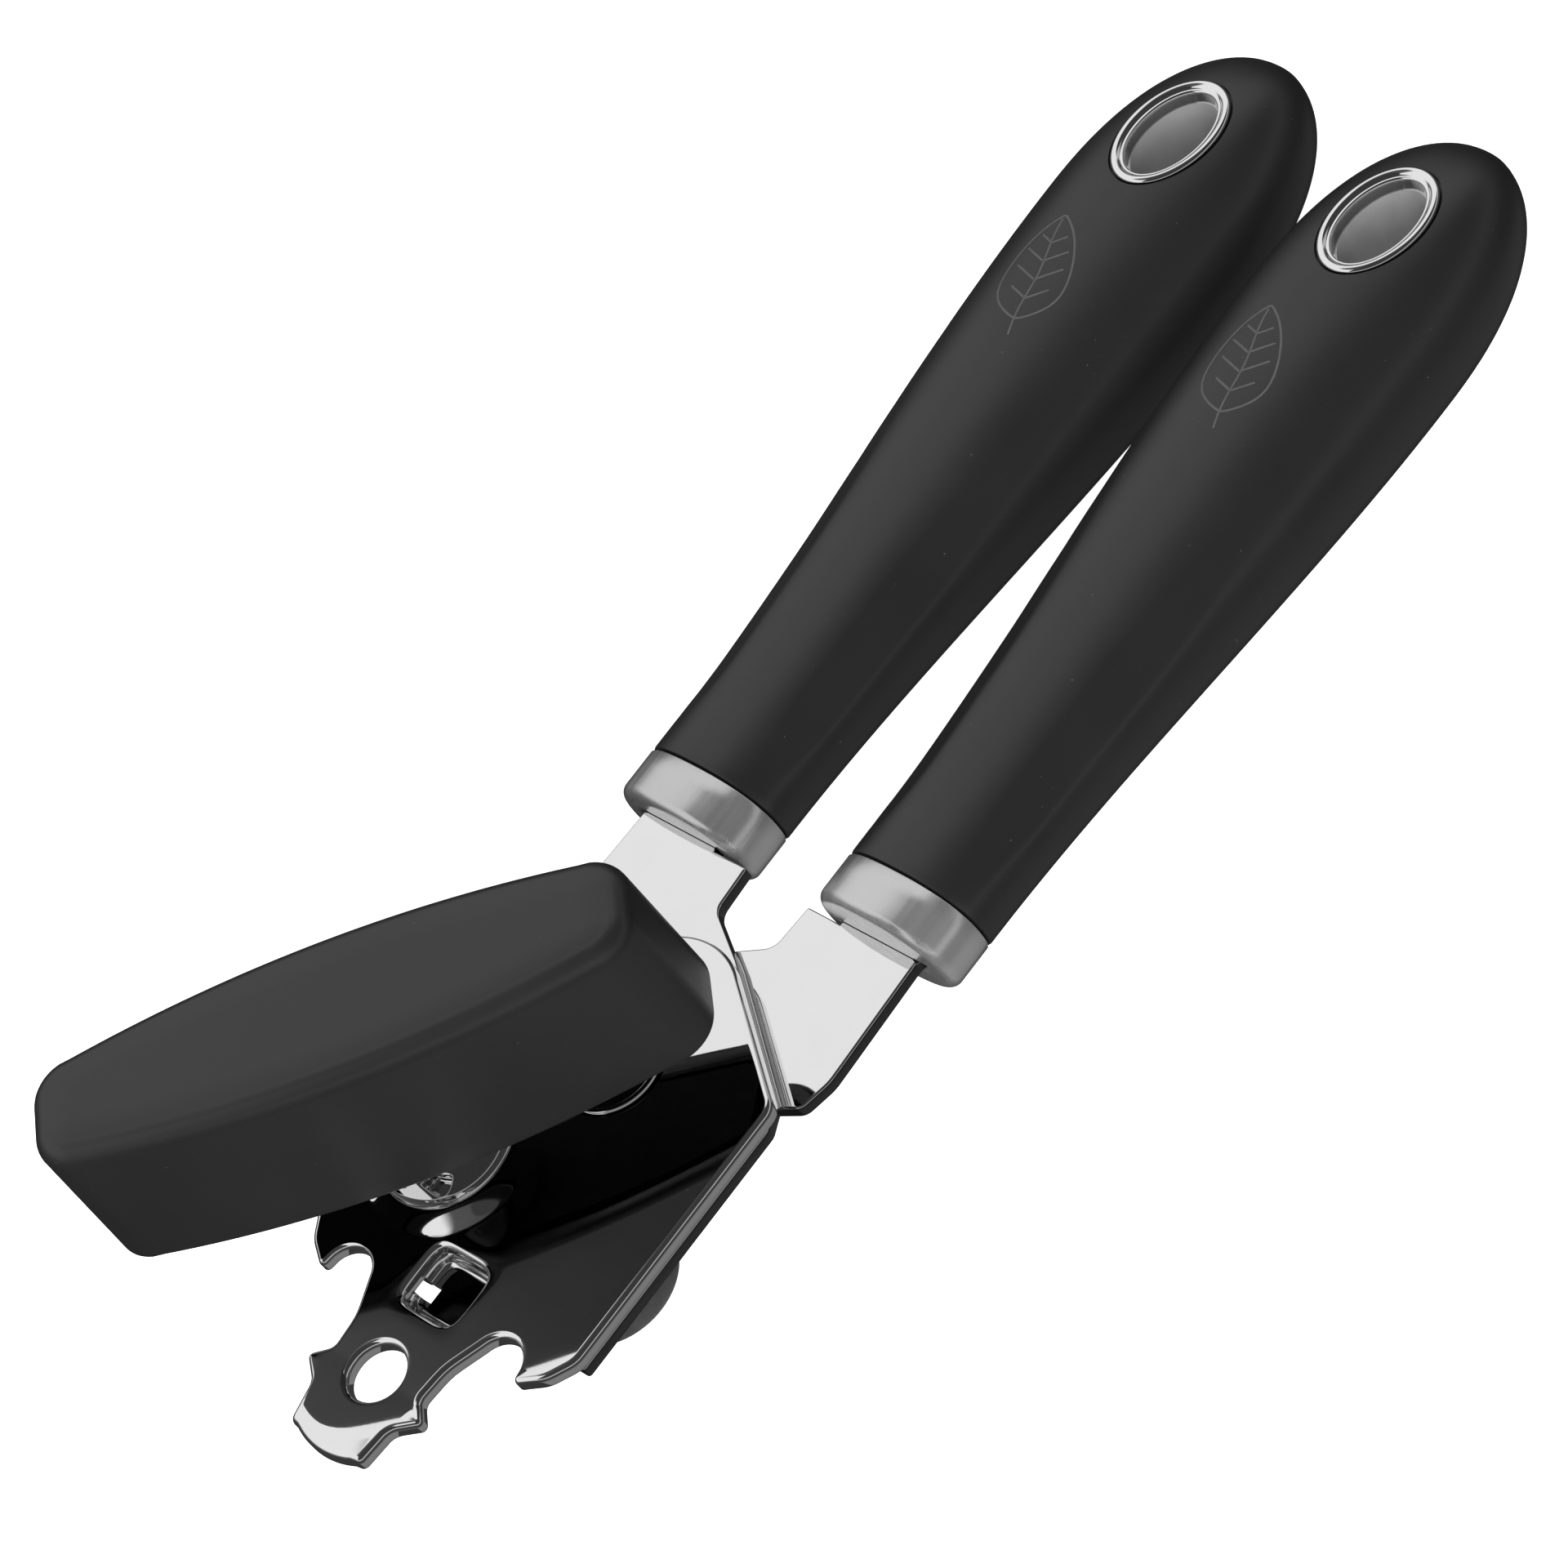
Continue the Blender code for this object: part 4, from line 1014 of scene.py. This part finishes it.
def make_sleeve(prefix, side, body):
    """Satin metal lining of the eyelet's bore."""
    bore = EYELET_RIM + EYELET_TUBE_WALL
    heights = [EYELET_SEAT[0] - 1.4 - 14.6 * i / 12 for i in range(13)]
    rings = [eyelet_ring(side, bore + 0.12, z) for z in heights]
    rings += [eyelet_ring(side, bore + 0.02, z) for z in reversed(heights)]
    sleeve = loft(prefix + "_eyelet_sleeve", rings, closed=True, smooth_angle=50)
    finish_piece(sleeve, SATIN, "chrome", body)


def make_ferrule(prefix, side, body, tang_top):
    """Oval cap with a soft front edge and a slot for the tang."""
    width = GRIP_HALF_W[0]
    thick = GRIP_HALF_T[0]
    rings = []
    for i in range(11):
        angle = math.pi / 2 * i / 10
        x = FERRULE_X + FERRULE_EDGE * (1 - math.cos(angle))
        inset = FERRULE_EDGE * (1 - math.sin(angle))
        rings.append(handle_ring(x, width - inset, thick - inset, side))
    for x in (FERRULE_X + 3.0, FERRULE_X + 4.5, FERRULE_END - 0.15):
        rings.append(handle_ring(x, width, thick, side))
    rings.append(handle_ring(FERRULE_END, width - 0.12, thick - 0.12, side))
    for x in (FERRULE_END, FERRULE_X + FERRULE_WALL):
        rings.append(handle_ring(x, width - FERRULE_WALL, thick - FERRULE_WALL, side))
    ferrule = loft(prefix + "_ferrule_brushed", rings, ("flat", "flat"), smooth_angle=50)
    slot_middle = (FERRULE_X, side * HANDLE_Y, tang_top - TANG_T / 2)
    cut_block(ferrule, (4.0, 2 * SLOT_HALF, TANG_T + SLOT_MARGIN), slot_middle)
    smooth_after_cut(ferrule, 50)
    finish_piece(ferrule, FERRULE_STEEL, "brushed_steel", body, prefix + "_ferrule")


def make_handle(prefix, side, body, tang_top):
    make_grip(prefix, side, body)
    make_motif_lines(prefix, side, body)
    make_eyelet(prefix, side, body)
    make_sleeve(prefix, side, body)
    make_ferrule(prefix, side, body, tang_top)


# ---------------------------------------------------------------- carried-over nodes

CARRIED = {
    "right_core": CORE_PLASTIC, "left_core": CORE_PLASTIC, "knob_core": CORE_PLASTIC,
    "pivot_washer": FERRULE_STEEL, "spacer_ring": FERRULE_STEEL, "feed_washer": FERRULE_STEEL,
    "shaft_nut": FERRULE_STEEL, "spring_washer": FERRULE_STEEL, "thrust_washer": FERRULE_STEEL,
    "cutter_cap": FERRULE_STEEL, "cutter_washer": FERRULE_STEEL, "drive_shaft": HARD_STEEL,
    "feed_wheel": HARD_STEEL, "cutter_axle": HARD_STEEL, "shaft_bush": BRASS,
}


def finish_carried():
    """Material and a fine bevel for the CAD nodes that stay in view."""
    for name, material in CARRIED.items():
        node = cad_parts[name]
        node.data.materials.clear()
        node.data.materials.append(material)
        bevel = node.modifiers.new("Edges", "BEVEL")
        bevel.width = 0.1 * MM
        bevel.segments = 2
        bevel.limit_method = "ANGLE"
        bevel.angle_limit = math.radians(35)
        bevel.harden_normals = True


# ---------------------------------------------------------------- studio and camera

def make_floor():
    """A pale disc that only the camera sees, so it stays even and colours nothing."""
    bm = bmesh.new()
    bmesh.ops.create_circle(bm, cap_ends=True, segments=96, radius=FLOOR_R)
    mesh = bpy.data.meshes.new("floor")
    bm.to_mesh(mesh)
    bm.free()
    floor = bpy.data.objects.new("floor", mesh)
    bpy.context.scene.collection.objects.link(floor)
    floor.location.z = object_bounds()[0].z - FLOOR_DROP
    paint = Paint("pale_floor", grey(0.86), 0.9)
    paint.link(paint.mix(paint.noise(6.0), grey(0.85), grey(0.88)), "Base Color")
    paint.set(Emission_Color=(1, 1, 1, 1), Emission_Strength=1.0)
    floor.data.materials.append(paint.material)
    floor.visible_diffuse = False
    floor.visible_glossy = False


# Brightness of the room by elevation in degrees, behind the tool and on the camera's side.
FAR_SIDE = [(-90, 0.04), (-6, 0.05), (8, 0.12), (24, 1.0), (58, 1.0), (66, 0.10), (90, 0.06)]
NEAR_SIDE = [(-90, 0.15), (-47, 0.24), (-25, 0.06), (5, 0.06), (10, 0.55), (19, 0.5), (27, 0.05), (90, 0.05)]
FAR_REACH = (86, 91)              # degrees round from the room's middle where the near side takes over
ROOM_TURN = math.radians(25)      # how far the room's middle lies to the left of straight behind


def elevation_ramp(nodes, links, elevation, levels):
    """Brightness by elevation, eased between the levels."""
    share = nodes.new("ShaderNodeMapRange")
    share.inputs["From Min"].default_value = -math.pi / 2
    share.inputs["From Max"].default_value = math.pi / 2
    links.new(elevation, share.inputs["Value"])
    ramp = nodes.new("ShaderNodeValToRGB")
    ramp.color_ramp.interpolation = "EASE"
    elements = ramp.color_ramp.elements
    elements.remove(elements[-1])
    for i, (degrees, brightness) in enumerate(levels):
        element = elements[0] if i == 0 else elements.new((degrees + 90) / 180)
        element.position = (degrees + 90) / 180
        element.color = (brightness, brightness, brightness, 1.0)
    links.new(share.outputs["Result"], ramp.inputs["Fac"])
    return ramp.outputs["Color"]


def calculate(nodes, links, operation, *values):
    node = nodes.new("ShaderNodeMath")
    node.operation = operation
    for socket, value in zip(node.inputs, values):
        if isinstance(value, float):
            socket.default_value = value
        else:
            links.new(value, socket)
    return node.outputs[0]


def make_world():
    """A white room behind and beside the tool, dark overhead and dim on the camera's side."""
    world = bpy.data.worlds.new("studio")
    bpy.context.scene.world = world
    world.use_nodes = True
    nodes = world.node_tree.nodes
    links = world.node_tree.links
    coordinates = nodes.new("ShaderNodeTexCoord")
    turn = nodes.new("ShaderNodeMapping")
    turn.inputs["Rotation"].default_value = (0.0, 0.0, -CAMERA_AZIMUTH - ROOM_TURN)
    links.new(coordinates.outputs["Generated"], turn.inputs["Vector"])
    parts = nodes.new("ShaderNodeSeparateXYZ")
    links.new(turn.outputs["Vector"], parts.inputs["Vector"])
    elevation = calculate(nodes, links, "ARCSINE", parts.outputs["Z"])
    sideways = calculate(nodes, links, "ABSOLUTE", parts.outputs["X"])
    round_from_behind = calculate(nodes, links, "ARCTAN2", sideways, parts.outputs["Y"])
    near = nodes.new("ShaderNodeMapRange")
    near.interpolation_type = "SMOOTHSTEP"
    near.inputs["From Min"].default_value = math.radians(FAR_REACH[0])
    near.inputs["From Max"].default_value = math.radians(FAR_REACH[1])
    links.new(round_from_behind, near.inputs["Value"])
    room = nodes.new("ShaderNodeMix")
    room.data_type = "RGBA"
    links.new(near.outputs["Result"], room.inputs["Factor"])
    links.new(elevation_ramp(nodes, links, elevation, FAR_SIDE), room.inputs["A"])
    links.new(elevation_ramp(nodes, links, elevation, NEAR_SIDE), room.inputs["B"])
    links.new(room.outputs["Result"], nodes["Background"].inputs["Color"])


def make_light(name, location, size, power):
    data = bpy.data.lights.new(name, "AREA")
    data.shape = "DISK"
    data.size = size
    data.energy = power
    light = bpy.data.objects.new(name, data)
    light.location = location
    light.rotation_euler = (-Vector(location)).to_track_quat("-Z", "Y").to_euler()
    light.visible_glossy = False
    bpy.context.scene.collection.objects.link(light)


def make_camera():
    camera = bpy.data.objects.new("camera", bpy.data.cameras.new("camera"))
    bpy.context.scene.collection.objects.link(camera)
    camera.data.lens = LENS_MM
    level = math.cos(CAMERA_ELEVATION)
    across = math.sin(CAMERA_AZIMUTH) * level
    back = -math.cos(CAMERA_AZIMUTH) * level
    away = Vector((across, back, math.sin(CAMERA_ELEVATION)))
    camera.location = CAMERA_AIM + away * CAMERA_DISTANCE
    facing = (-away).to_track_quat("-Z", "Y").to_matrix()
    camera.rotation_euler = (facing @ Matrix.Rotation(CAMERA_ROLL, 3, "Z")).to_euler()
    bpy.context.scene.camera = camera


make_front_plate()
make_pocket_cup()
make_tang("left_tang_polished", 1, LEFT_TANG_TOP, "left_lever", "left_tang")
make_tang("right_tang_polished", -1, RIGHT_TANG_TOP, "frame", "right_tang")
make_rivet()
make_collar()
make_cutting_wheel()
make_knob()
make_handle("right", -1, "frame", RIGHT_TANG_TOP)
make_handle("left", 1, "left_lever", LEFT_TANG_TOP)
finish_carried()

make_floor()
make_world()
make_light("front_fill", FILL_AT, FILL_SIZE, FILL_POWER)
make_camera()
bpy.context.scene.view_settings.view_transform = "Standard"
